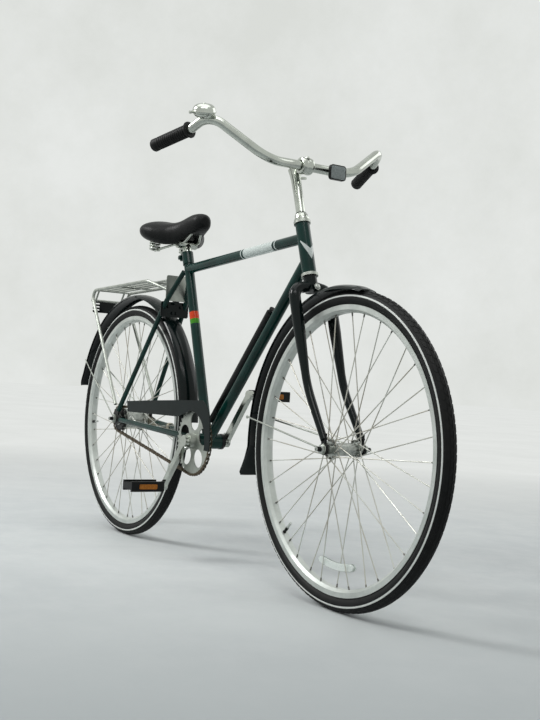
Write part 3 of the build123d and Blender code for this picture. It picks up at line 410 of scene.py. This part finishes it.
def tread_block(bm, centre, low, high, start):
    """One block of the tread between two angles over the crown, from an angle round the wheel."""
    pitch = full_turn / tread_blocks
    end = start + pitch * 0.72
    skew = pitch * 0.28 * (1 if low > 0 else -1)
    corners = ((low, start), (high, start + skew), (high, end + skew), (low, end))
    middle = (low + high) / 2
    rings = []
    for rise, shrink in ((-0.3, 1.0), (tread_rise, 0.96)):
        ring = []
        for over, round_wheel in corners:
            out, y = polar(carcass_radius + rise, middle + (over - middle) * shrink)
            radius = metres(carcass_mid + out)
            offset = Vector((radius * math.cos(round_wheel), metres(y), radius * math.sin(round_wheel)))
            ring.append(bm.verts.new(centre + offset))
        rings.append(ring)
    foot, top = rings
    bm.faces.new(top)
    for j in range(4):
        k = (j + 1) % 4
        bm.faces.new((foot[j], foot[k], top[k], top[j]))


def build_tyre(name, x, body, node):
    """Carcass, raised tread blocks and a pale stripe on each wall."""
    bm = bmesh.new()
    centre = place(x, 0, tyre_radius)
    foot = math.asin(bead_half / carcass_radius)
    profile = []
    count = 28
    for i in range(count + 1):
        angle = (math.pi - foot) * (1 - 2 * i / count)
        profile.append((carcass_radius * math.sin(angle), carcass_mid + carcass_radius * math.cos(angle)))
    profile += [(-bead_half, bead_radius), (bead_half, bead_radius)]
    turned(bm, centre, along_y, profile, 160, closed=True, ref=along_z)
    for side in (-1, 1):
        stripe = []
        for degrees in (68, 70, 75, 80, 82):
            proud = -0.2 if degrees in stripe_edges else 0.42
            out, y = polar(carcass_radius + proud, degrees)
            stripe.append((side * y, carcass_mid + out))
        turned(bm, centre, along_y, stripe, 160, slot=1, ref=along_z)
    for k in range(tread_blocks):
        for low, high, shift in tread_rows:
            tread_block(bm, centre, low, high, full_turn * (k + shift) / tread_blocks)
    obj = make_object(name, bm, [rubber, stripe_white], body)
    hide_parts(node)


build_tyre("front_tyre_dressed", wheelbase, "front_wheel", "front_tyre")
build_tyre("rear_tyre_dressed", 0, "rear_wheel", "rear_tyre")

# Spokes, nipples and valves

spokes_a_side = 18
spoke_lean = 60
nipple_profile = [(-0.5, 2.4), (1, 2.0), (6, 1.8), (7.5, 1.3), (8, 1.1)]
spoke_head_profile = [(-5, 0), (-4.6, 2.1), (-2.6, 2.3), (-2.0, 0.9)]
valve_profile = [(0, 0), (0, 3.4), (1, 3.9), (9, 3.9), (10, 3.2), (14, 3.4), (17, 4.6), (18, 0)]


def spoke_ends(x, flange_radius, flange_y):
    """Where each spoke leaves its flange and where it meets the rim."""
    ends = []
    for side in (-1, 1):
        for i in range(spokes_a_side):
            turn = 1 if i % 2 else -1
            hub_angle = 360 / spokes_a_side * (i + (0.5 if side > 0 else 0))
            hub_x, hub_z = polar(flange_radius - 4, hub_angle)
            rim_x, rim_z = polar(nipple_seat, hub_angle + turn * spoke_lean)
            start = place(x + hub_x, side * (flange_y + turn * 3.2), tyre_radius + hub_z)
            ends.append((start, place(x + rim_x, side * 3, tyre_radius + rim_z)))
    return ends


def build_spokes(wheel, x, flange_radius, flange_y):
    ends = spoke_ends(x, flange_radius, flange_y)
    bm = bmesh.new()
    for start, end in ends:
        turned(bm, end, start - end, nipple_profile, 8)
        turned(bm, start, start - end, spoke_head_profile, 8)
    make_object(wheel + "_nipples", bm, [nipple_metal], wheel + "_wheel")
    bm = bmesh.new()
    for start, end in ends:
        length = (end - start).length * 1000
        turned(bm, start, end - start, [(0, 1.3), (length - 5, 1.25)], 8)
    obj = make_object(wheel + "_spokes_dressed", bm, [spoke_metal], wheel + "_wheel")
    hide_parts(wheel + "_spokes")


def build_valve(wheel, x, degrees):
    out_x, out_z = polar(1, degrees)
    foot_x, foot_z = polar(282, degrees)
    bm = bmesh.new()
    turned(bm, place(x + foot_x, 0, tyre_radius + foot_z), Vector((out_x, 0, out_z)), valve_profile, 16)
    make_object(wheel + "_valve_cap", bm, [black_plastic], wheel + "_wheel")


build_spokes("front", wheelbase, 22, 33)
build_spokes("rear", 0, 34, 30)
build_valve("front", wheelbase, 225)
build_valve("rear", 0, 185)

# Chain

plate_end = 3.9
plate_waist = 2.7
plate_thickness = 0.95
inner_plate = 2.15
outer_plate = 3.2
roller_radius = 3.7
ring_clearance = 96
sprocket_clearance = 46


def chain_pins():
    """Points a pin's pitch apart on the loop round the chainring and the sprocket."""
    big = Vector(bracket)
    small = Vector((0.0, tyre_radius))
    run = small - big
    base = math.atan2(run.y, run.x)
    lean = math.acos((ring_radius - sprocket_radius) / run.length)
    arcs = [
        (big, ring_radius, base + lean, base - lean + full_turn, 200),
        (small, sprocket_radius, base - lean, base + lean, 100),
    ]
    loop = []
    for centre, radius, start, end, count in arcs:
        for i in range(count + 1):
            angle = start + (end - start) * i / count
            loop.append(centre + Vector((math.cos(angle), math.sin(angle))) * radius)
    loop.append(loop[0])
    total = sum((b - a).length for a, b in zip(loop, loop[1:]))
    links = 2 * round(total / chain_pitch / 2)
    step = total / links
    pins = []
    needed = 0.0
    travelled = 0.0
    for a, b in zip(loop, loop[1:]):
        length = (b - a).length
        while needed <= travelled + length and len(pins) < links:
            pins.append(a.lerp(b, (needed - travelled) / max(length, 1e-9)))
            needed += step
        travelled += length
    return pins


def link_outline(a, b):
    """A plate's outline, rounded at both pins and waisted between them."""
    run = (b - a).normalized()
    rise = Vector((-run.y, run.x))
    outline = []
    for centre, sign in ((b, 1), (a, -1)):
        for k in range(7):
            angle = -math.pi / 2 + math.pi * k / 6
            outline.append(centre + (run * math.cos(angle) + rise * math.sin(angle)) * (sign * plate_end))
        outline.append((a + b) / 2 + rise * (sign * plate_waist))
    return outline


def build_chain():
    bm = bmesh.new()
    pins = chain_pins()
    for i, a in enumerate(pins):
        outline = link_outline(a, pins[(i + 1) % len(pins)])
        near = inner_plate if i % 2 else outer_plate
        for side in (-1, 1):
            faces = [chain_y + side * near, chain_y + side * (near + plate_thickness)]
            skin(bm, [[bm.verts.new(place(p.x, y, p.y)) for p in outline] for y in faces])
        at = place(a.x, chain_y, a.y)
        turned(bm, at, along_y, [(-4.6, 0), (-4.6, 1.6), (-2.1, 1.7)], 10)
        turned(bm, at, along_y, [(2.1, 1.7), (4.6, 1.6), (4.6, 0)], 10)
        off_ring = (a - Vector(bracket)).length > ring_clearance
        off_sprocket = (a - Vector((0, tyre_radius))).length > sprocket_clearance
        if off_ring and off_sprocket:
            turned(bm, at, along_y, [(-2.1, roller_radius), (2.1, roller_radius)], 12)
    obj = make_object("chain_links", bm, [chain_steel], "frame")
    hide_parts("chain")


build_chain()

# Grips

grip_ribs = 14
grip_flange = [(0, 11.3), (0, 18.6), (1.2, 19.4), (3, 19.4), (4.2, 18.4), (4.6, 14.2), (10, 14.0)]
grip_end = [(103, 14.2), (106, 15.2), (117, 15.4), (119.4, 14.0), (119.9, 9), (119.9, 0)]


def build_grips():
    profile = list(grip_flange)
    for k in range(grip_ribs):
        start = 12 + k * 6.4
        profile += [(start, 14.0), (start + 0.8, 15.2), (start + 3.6, 15.2), (start + 4.4, 14.0)]
    profile += grip_end
    bm = bmesh.new()
    for side in (-1, 1):
        front = place(grip_front[0], side * grip_front[1], grip_front[2])
        back = place(grip_back[0], side * grip_back[1], grip_back[2])
        run = (back - front).normalized()
        turned(bm, back - run * metres(116), run, profile, 36)
    obj = make_object("grips_ribbed", bm, [rubber], "steering")
    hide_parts("grips")


build_grips()

# Saddle: sections as x, half width, top, underside and arch of the underside, in mm from the rider's seat

saddle_sections = [
    (-102, 40, -12, -30, 0), (-100, 62, -3, -40, 2), (-95, 80, 3, -46, 6), (-86, 91, 8, -51, 12),
    (-74, 97, 10, -55, 18), (-58, 100, 10, -59, 22), (-40, 97, 8, -64, 26), (-20, 89, 4, -69, 30),
    (0, 76, 1, -73, 34), (20, 61, 1, -75, 36), (40, 49, 4, -72, 34), (60, 40, 9, -63, 24),
    (80, 35, 14, -50, 10), (98, 32, 17, -42, 3), (114, 29, 17, -36, 0), (128, 26, 16, -31, 0),
    (138, 20, 12, -26, 0), (145, 12, 6, -20, 0),
]
saddle_groove = 7
saddle_voxel = 0.0045
cloth_cap = 0.003
pinned_below = -0.042


def saddle_ring(bm, x, half_width, top, low, arch, count=44):
    """One section: rounded above with a groove between two lobes, squarer and arched below."""
    middle = (top + low) / 2
    half_height = (top - low) / 2
    rear = max(0.0, min(1.0, (40 - x) / 90))
    ring = []
    for k in range(count):
        across = math.cos(full_turn * k / count)
        rise = math.sin(full_turn * k / count)
        power = 2 / (2.3 if rise > 0 else 3.0)
        y = half_width * math.copysign(abs(across) ** power, across)
        z = middle + half_height * math.copysign(abs(rise) ** power, rise)
        if rise > 0:
            z -= saddle_groove * rear * math.exp(-((y / 26) ** 2)) * rise
        else:
            z += arch * abs(rise) * math.exp(-((y / (0.55 * half_width)) ** 4))
            y *= 1 - 0.10 * abs(rise) * rear
        ring.append(bm.verts.new(Vector((metres(x), metres(y), metres(z)))))
    return ring


def swell(obj):
    """Swells the pad by cloth under pressure, with its lower edge pinned and each point's move capped."""
    vertices = obj.data.vertices
    rest = [v.co.copy() for v in vertices]
    group = obj.vertex_groups.new(name="pin")
    group.add([v.index for v in vertices if v.co.z < pinned_below], 1.0, "REPLACE")
    cloth = obj.modifiers.new("cloth", "CLOTH")
    settings = cloth.settings
    settings.quality = 6
    settings.mass = 0.3
    settings.tension_stiffness = 40
    settings.compression_stiffness = 40
    settings.bending_stiffness = 8
    settings.use_pressure = True
    settings.uniform_pressure_force = 4
    settings.vertex_group_mass = "pin"
    settings.effector_weights.gravity = 0
    for step in range(1, 21):
        bpy.context.scene.frame_set(step)
    bpy.ops.object.modifier_apply(modifier=cloth.name)
    for vertex, start in zip(obj.data.vertices, rest):
        move = vertex.co - start
        if move.length > cloth_cap:
            vertex.co = start + move.normalized() * cloth_cap
    bpy.context.scene.frame_set(1)


def build_saddle():
    """The padded cover: a lofted shell with two rear lobes and a raised nose."""
    bm = bmesh.new()
    skin(bm, [saddle_ring(bm, *section) for section in saddle_sections])
    bmesh.ops.recalc_face_normals(bm, faces=bm.faces)
    mesh = bpy.data.meshes.new("saddle_cover")
    bm.to_mesh(mesh)
    bm.free()
    obj = bpy.data.objects.new("saddle_cover", mesh)
    bpy.context.scene.collection.objects.link(obj)
    bpy.context.view_layer.objects.active = obj
    voxels = obj.modifiers.new("remesh", "REMESH")
    voxels.mode = "VOXEL"
    voxels.voxel_size = saddle_voxel
    bpy.ops.object.modifier_apply(modifier=voxels.name)
    smooth = obj.modifiers.new("smooth", "SMOOTH")
    smooth.factor = 0.5
    smooth.iterations = 6
    bpy.ops.object.modifier_apply(modifier=smooth.name)
    swell(obj)
    finer = obj.modifiers.new("sub", "SUBSURF")
    finer.levels = 1
    finer.render_levels = 1
    bpy.ops.object.modifier_apply(modifier=finer.name)
    for face in obj.data.polygons:
        face.use_smooth = True
    paint(obj, leather)
    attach(obj, "frame")
    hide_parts("saddle")


build_saddle()

# Mudguards: tables of degrees round the wheel and mm, for radius, half width and depth of the crown

guard_thickness = 1.3
guard_hem = 1.4
front_radii = [(80.8, 352), (84.5, 357), (90, 360), (97, 364), (106, 367), (120, 367), (150, 367),
               (184, 368.5), (188, 375), (191, 386), (194, 402)]
front_widths = [(80.8, 23), (84, 27), (90, 27), (184, 27), (189, 28.5), (192.4, 30), (193.6, 28), (194, 23)]
front_crowns = [(80.8, 5), (86, 9), (94, 11), (183, 11), (188, 6), (194, 2)]
rear_radii = [(2, 382), (90, 382), (150, 382), (158, 383), (166, 382)]
rear_widths = [(2, 27), (158, 27), (164, 29), (166, 26)]
rear_crowns = [(2, 11), (158, 11), (166, 8)]


def between(table, at, eased=False):
    """The value at a place between the rows of a table of (place, value)."""
    for (a, first), (b, last) in zip(table, table[1:]):
        if a <= at <= b:
            t = (at - a) / (b - a)
            if eased:
                t = t * t * (3 - 2 * t)
            return first + (last - first) * t
    return table[-1][1] if at > table[-1][0] else table[0][1]


def guard_section(radius, half, crown, count=14):
    """The (y, radius) points of a rolled section with a hem at both edges."""
    section = []
    for k in range(count + 1):
        u = -1 + 2 * k / count
        drop = crown * (1 - math.sqrt(max(0.0, 1 - 0.96 * u * u))) / (1 - math.sqrt(0.04))
        section.append((u * half, radius - drop))
    inner = [(y * (half - 1.2) / half, r - guard_thickness) for y, r in reversed(section)]
    edge = radius - crown - guard_hem
    return section + [(half + 0.5, edge)] + inner + [(-half - 0.5, edge)]


def build_guard(name, x, radii, widths, crowns, body, replaced, eased_crown=False, steps=120):
    bm = bmesh.new()
    first, last = radii[0][0], radii[-1][0]
    rings = []
    for i in range(steps + 1):
        angle = first + (last - first) * i / steps
        crown = between(crowns, angle, eased_crown)
        ring = []
        for y, radius in guard_section(between(radii, angle), between(widths, angle), crown):
            out_x, out_z = polar(radius, angle)
            ring.append(bm.verts.new(place(x + out_x, y, tyre_radius + out_z)))
        rings.append(ring)
    skin(bm, rings)
    obj = make_object(name, bm, [black_green], body)
    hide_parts(*replaced)


build_guard("front_mudguard_dressed", wheelbase, front_radii, front_widths, front_crowns, "steering",
            ["front_mudguard", "front_flap"])
build_guard("rear_mudguard_dressed", 0, rear_radii, rear_widths, rear_crowns, "frame",
            ["rear_mudguard"], eased_crown=True)


def guard_fasteners():
    """Two rivets at the flap, and the bolt through the fork crown."""
    bm = bmesh.new()
    for degrees, radius in ((184.6, 369.5), (176, 367.4)):
        out_x, out_z = polar(radius, degrees)
        bolt_head(bm, place(wheelbase + out_x, 0, tyre_radius + out_z), Vector((out_x, 0, out_z)), 3.6, 2.0)
    make_object("front_guard_rivets", bm, [zinc], "steering")
    crown = steer(crown_z, trim_x)
    bm = bmesh.new()
    bolt_head(bm, crown + head_forward * metres(24), head_forward, 6.2, 3.0)
    turned(bm, crown + head_forward * metres(23.4), head_forward, [(0, 0), (0, 8), (0.8, 8), (0.8, 0)], 24)
    make_object("crown_bolt", bm, [zinc], "steering")


guard_fasteners()

# Head badge


def badge(rows=8, columns=28):
    """A blank pale chevron wrapped on the front of the head tube."""
    bm = bmesh.new()
    foot = steer(head_z, trim_x)
    grid = []
    for i in range(columns + 1):
        u = -1 + 2 * i / columns
        angle = math.radians(74) * u
        out = head_forward * math.cos(angle) + along_y * math.sin(angle)
        low = 2 + 45 * abs(u) ** 1.05
        high = 28 + 23 * abs(u)
        heights = [low + (high - low) * j / rows for j in range(rows + 1)]
        grid.append([bm.verts.new(foot + head_up * metres(h) + out * metres(17.25)) for h in heights])
    sheet(bm, grid)
    make_object("head_badge", bm, [pale_decal], "frame")


badge()

# Bar, stem and bell

bar_bends = [0.09, 0.09, 0.048, 0.06]
stem_profile = [(0, 0), (0, 11.1), (70, 11.1), (112, 12.2), (128, 14), (140, 16), (146, 12), (148, 0)]
locknut_profile = [(7.5, 13.5), (7.7, 17.6), (8.6, 18.4), (12, 18.4), (12.8, 17.6), (13.2, 16.4),
                   (14, 16.2), (22, 15.4), (24.4, 14.2), (25.8, 12.4), (25.8, 11.3)]
collar_half = [(15.7, 12.9), (15.8, 16.8), (14.4, 19.2), (11, 20.4), (6, 20.6), (2.2, 19.5), (0, 19.3)]
bell_cup = [(-10, 0), (-10, 8), (-8, 12), (-6, 18), (-3, 22), (0, 24.6), (1.5, 24.8), (2, 23.4),
            (2.8, 23.4), (3, 26.4), (4, 27.2), (7, 27.4), (8, 26.8)]
bell_lever = [(0, 3.2), (12, 2.6), (14, 3.6), (18, 3.4), (19, 0)]


def chrome_piece(name, bm, node):
    obj = make_object(name, bm, [chrome], "steering")
    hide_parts(node)


def handlebar():
    bm = bmesh.new()
    for side in (-1, 1):
        corners = [
            place(bar_x, 0, bar_z),
            place(bar_x, side * 38, bar_z),
            place(bar_x + 23, side * 116, bar_z - 7),
            place(bar_x - 31, side * 247, bar_z + 83),
            place(bar_x - 85, side * 265, bar_z + 55),
            place(bar_x - 195, side * 300, bar_z + 30),
        ]
        wire(bm, filleted(corners, bar_bends, 0.05), bar_radius, 40)
    chrome_piece("handlebar_dressed", bm, "handlebar")


def stem():
    bm = bmesh.new()
    turned(bm, steer(head_tube_top + 3), head_up, stem_profile, 48)
    chrome_piece("stem_dressed", bm, "stem")
    bm = bmesh.new()
    turned(bm, steer(head_tube_top), head_up, locknut_profile, 48)
    chrome_piece("locknut_dressed", bm, "headset_locknut")
    bm = bmesh.new()
    collar = [(-d, r) for d, r in collar_half] + [(d, r) for d, r in reversed(collar_half[:-1])]
    turned(bm, place(clamp_x, 0, bar_z), along_y, collar, 48)
    bolt_head(bm, place(clamp_x + 8.6, 0, bar_z + 18), Vector((0.35, 0, 1)), 5.6, 4.5)
    hexagon(bm, place(clamp_x - 4, 0, bar_z - 26), -along_z, 7.4, 5)
    make_object("stem_collar", bm, [chrome], "steering")


def bell():
    bm = bmesh.new()
    up = Vector((0.3, -0.2, 1)).normalized()
    foot = place(clamp_x - 30, -262, bar_z + 85) - up * metres(5)
    profile = list(bell_cup)
    for i in range(1, 9):
        angle = i / 8 * math.pi / 2
        profile.append((8 + 16.5 * math.sin(angle), 26.6 * math.cos(angle) ** 0.7))
    turned(bm, foot, up, profile, 48)
    bolt_head(bm, foot + up * metres(24.2), up, 3.6, 1.8)
    lever = -up.cross(Vector((1, 0, 0))).normalized()
    turned(bm, foot + up * metres(5) + lever * metres(20), lever, bell_lever, 14)
    chrome_piece("bell_dressed", bm, "bell")


handlebar()
stem()
bell()

# Reflectors

lens_ribs = 7
lens_y = 66
lens_z = 990


def front_lens(columns=60, rows=10):
    """A ribbed lens in the dark frame of the front reflector."""
    bm = bmesh.new()
    face_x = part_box("front_reflector")[1][0] * 1000 + rider_x
    grid = []
    for i in range(columns + 1):
        u = -1 + 2 * i / columns
        line = []
        for j in range(rows + 1):
            v = -1 + 2 * j / rows
            height = 15.5 * v * (1 - 0.12 * abs(u) ** 6)
            lift = 0.9 + 0.55 * abs(math.sin(u * math.pi * lens_ribs)) - 0.6 * (abs(u) ** 8 + abs(v) ** 8)
            line.append(bm.verts.new(place(face_x + lift, lens_y + 20.5 * u, lens_z + height)))
        grid.append(line)
    sheet(bm, grid)
    make_object("front_lens", bm, [lens_grey], "steering", crease=math.radians(80))


def spoke_reflector(radius=254, half_width=8.4, steps=24):
    """A pale bar between the spokes, bent to the wheel, with rounded ends."""
    bm = bmesh.new()
    for side in (-1, 1):
        grid = []
        for i in range(steps + 1):
            t = i / steps
            half = half_width * min(1, math.sqrt(max(0.0, 1 - (2 * t - 1) ** 12)) + 0.02)
            line = []
            for share, y in ((-1, 2.2), (-0.8, 4.4), (0.8, 4.4), (1, 2.2)):
                out_x, out_z = polar(radius + half * share, -104.5 + 29 * t)
                line.append(bm.verts.new(place(wheelbase + out_x, side * y, tyre_radius + out_z)))
            grid.append(line)
        sheet(bm, grid)
    make_object("spoke_reflector", bm, [lens_pale], "front_wheel")


front_lens()
spoke_reflector()

# Front stays

stay_angle = 172.2
stay_radius = 2.1


def front_stays():
    """A wire from each dropout to the guard, with an eye round the axle and a bolt at the guard."""
    bm = bmesh.new()
    out_x, out_z = polar(362, stay_angle)
    for side in (-1, 1):
        sideways = along_y * side
        guard = place(wheelbase + out_x, side * 29.5, tyre_radius + out_z)
        foot = place(wheelbase - 12, side * 56.4, tyre_radius + 1.5)
        wire(bm, [guard.lerp(foot, i / 10) for i in range(11)], stay_radius)
        bolt_head(bm, guard + sideways * metres(1), sideways, 4.6, 2.6)
        eye = [(0, 6.2), (0, 11.5), (2.2, 11.5), (2.2, 6.2)]
        turned(bm, place(wheelbase, side * 55.2, tyre_radius), sideways, eye, 28, closed=True)
    obj = make_object("front_stays_dressed", bm, [silver], "steering")
    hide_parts("front_guard_stays")


front_stays()

# Bolts, cotters, nuts and caps

cotter_profile = [(0, 0), (0, 3.6), (1, 4.2), (34, 4.2), (34, 3), (39, 3), (39, 0)]
cap_profile = [(0, 5.4), (5, 5.3), (10, 5.0), (11.4, 3.4), (11.8, 0)]


def drive_bolts():
    bm = bmesh.new()
    bolt_head(bm, place(79, -56.6, 381), -along_y, 4.2, 2.2)
    make_object("guard_bolt", bm, [zinc], "frame")
    bm = bmesh.new()
    for degrees, y in ((230, -68), (50, 55)):
        arm_x, arm_z = polar(1, degrees)
        arm = Vector((arm_x, 0, arm_z))
        pin = Vector((-arm_z, 0, arm_x))
        at = place(bracket[0], y, bracket[1]) + arm * metres(8.5)
        turned(bm, at - pin * metres(17), pin, cotter_profile, 16)
        hexagon(bm, at + pin * metres(16), pin, 6.4, 4.5)
    make_object("cotters", bm, [zinc], "crankset")


def axle_nuts(name, body, x, y):
    bm = bmesh.new()
    for side in (-1, 1):
        axis = along_y * side
        hexagon(bm, place(x, side * (y + 0.2), tyre_radius), axis, 10.8, 8.2)
        turned(bm, place(x, side * (y + 8.3), tyre_radius), axis, cap_profile, 18, slot=1)
    make_object(name, bm, [zinc, black_plastic], body)


drive_bolts()
axle_nuts("rear_nuts", "frame", 0, 57.6)
axle_nuts("front_nuts", "steering", wheelbase, 53.6)

# Stage, in metres

floor_z = -0.925
floor_half = 30
view_direction = (-0.8436, 0.5369, 0)


def seen_rays(tree):
    """One for the rays that see the background: camera, glossy and transmission rays."""
    path = tree.nodes.new("ShaderNodeLightPath")
    seen = calculate(tree, "ADD", path.outputs["Is Camera Ray"], path.outputs["Is Glossy Ray"])
    seen = calculate(tree, "ADD", seen, path.outputs["Is Transmission Ray"])
    return calculate(tree, "MINIMUM", seen, 1.0)


def mix_shaders(tree, factor, first, second, out):
    mixer = tree.nodes.new("ShaderNodeMixShader")
    tree.links.new(factor, mixer.inputs[0])
    tree.links.new(first.outputs[0], mixer.inputs[1])
    tree.links.new(second.outputs[0], mixer.inputs[2])
    tree.links.new(mixer.outputs[0], out.inputs[0])


def build_floor():
    """A pale mottled floor with painted shade that darkens it towards the camera, fading into the wall's
    colour far off.
    """
    material, tree, shader = new_material("floor")
    shader.inputs["Roughness"].default_value = 0.9
    shader.inputs["Specular IOR Level"].default_value = 0.1
    coords = object_coords(tree)
    tone = cloudy(tree, coords, 1.6, (0.55, 0.58, 0.58), (0.63, 0.66, 0.65), 8, 0.65)
    fine = noise(tree, coords, 9, 8, 0.7)
    tone = mix_colour(tree, remap(tree, fine, 0.45, 0.7, 0, 0.5), tone, (0.68, 0.70, 0.69))
    depth = vector_value(tree, "DOT_PRODUCT", coords, view_direction)
    # Painted shade: the floor's colour darkens to a grey towards the camera, where the light falls off.
    tone = mix_colour(tree, remap(tree, depth, -1.6, -0.3, 0, 1), (0.40, 0.43, 0.43), tone)
    tree.links.new(tone, shader.inputs["Base Color"])
    ahead = remap(tree, depth, 0.4, 3.6, 0, 1)
    around = remap(tree, vector_value(tree, "LENGTH", coords), 2.4, 5.5, 0, 1)
    far = calculate(tree, "MULTIPLY", calculate(tree, "MAXIMUM", ahead, around), seen_rays(tree))
    glow = tree.nodes.new("ShaderNodeEmission")
    tree.links.new(cloudy(tree, coords, 1.1, (0.73, 0.75, 0.73), (0.78, 0.80, 0.78), 8, 0.7), glow.inputs[0])
    out = next(node for node in tree.nodes if node.type == "OUTPUT_MATERIAL")
    mix_shaders(tree, far, shader, glow, out)
    bm = bmesh.new()
    bmesh.ops.create_grid(bm, x_segments=2, y_segments=2, size=floor_half)
    mesh = bpy.data.meshes.new("floor")
    bm.to_mesh(mesh)
    bm.free()
    mesh.materials.append(material)
    floor = bpy.data.objects.new("floor", mesh)
    floor.location.z = floor_z
    bpy.context.scene.collection.objects.link(floor)


def build_world():
    """Soft even light, with a pale mottled wall for the rays that see the background."""
    world = bpy.data.worlds.new("studio")
    bpy.context.scene.world = world
    world.use_nodes = True
    tree = world.node_tree
    tree.nodes.clear()
    out = tree.nodes.new("ShaderNodeOutputWorld")
    soft = tree.nodes.new("ShaderNodeBackground")
    soft.inputs[0].default_value = (0.95, 0.98, 1.0, 1)
    soft.inputs[1].default_value = 0.36
    wall = tree.nodes.new("ShaderNodeBackground")
    where = tree.nodes.new("ShaderNodeTexCoord").outputs["Generated"]
    tree.links.new(cloudy(tree, where, 5, (0.70, 0.72, 0.69), (0.79, 0.81, 0.79), 9, 0.7), wall.inputs[0])
    wall.inputs[1].default_value = 1.0
    mix_shaders(tree, seen_rays(tree), soft, wall, out)


def lamp(name, at, target, size, power):
    data = bpy.data.lights.new(name, "AREA")
    data.shape = "RECTANGLE"
    data.size, data.size_y = size
    data.energy = power
    obj = bpy.data.objects.new(name, data)
    obj.location = at
    obj.rotation_mode = "QUATERNION"
    obj.rotation_quaternion = (Vector(target) - Vector(at)).to_track_quat("-Z", "Y")
    bpy.context.scene.collection.objects.link(obj)


build_floor()
build_world()
lamp("top", (0.4, -0.4, 3.2), (0.3, 0, 0), (4, 3), 50)
lamp("key", (-1.7, -3.0, 2.3), (0.3, 0, -0.4), (1.4, 1.4), 105)
lamp("strip", (2.2, -1.2, 2.2), (0.3, 0, -0.2), (2.4, 0.5), 18)
lamp("left", (0.5, 3.4, 1.8), (0.3, 0, -0.3), (3, 2), 25)

# Camera, as found from the photograph: focal length in pixels of a picture 720 high, angles in radians

focal_pixels = 1028.5857
picture_height = 720
sensor = 36
yaw = 2.5746
pitch = 0.0221
roll = 0.0583


def make_camera():
    forward = Vector((math.cos(yaw) * math.cos(pitch), math.sin(yaw) * math.cos(pitch), math.sin(pitch)))
    level = Vector((math.sin(yaw), -math.cos(yaw), 0))
    upright = level.cross(forward)
    right = level * math.cos(roll) + upright * math.sin(roll)
    up = upright * math.cos(roll) - level * math.sin(roll)
    data = bpy.data.cameras.new("camera")
    data.sensor_width = sensor
    data.lens = focal_pixels / picture_height * sensor
    data.clip_end = 100
    camera = bpy.data.objects.new("camera", data)
    bpy.context.scene.collection.objects.link(camera)
    camera.rotation_mode = "QUATERNION"
    camera.rotation_quaternion = Matrix((right, up, -forward)).transposed().to_quaternion()
    camera.location = place(2883.7, -1349.3, 484.7)
    bpy.context.scene.camera = camera


make_camera()
bpy.context.scene.view_settings.view_transform = "Standard"
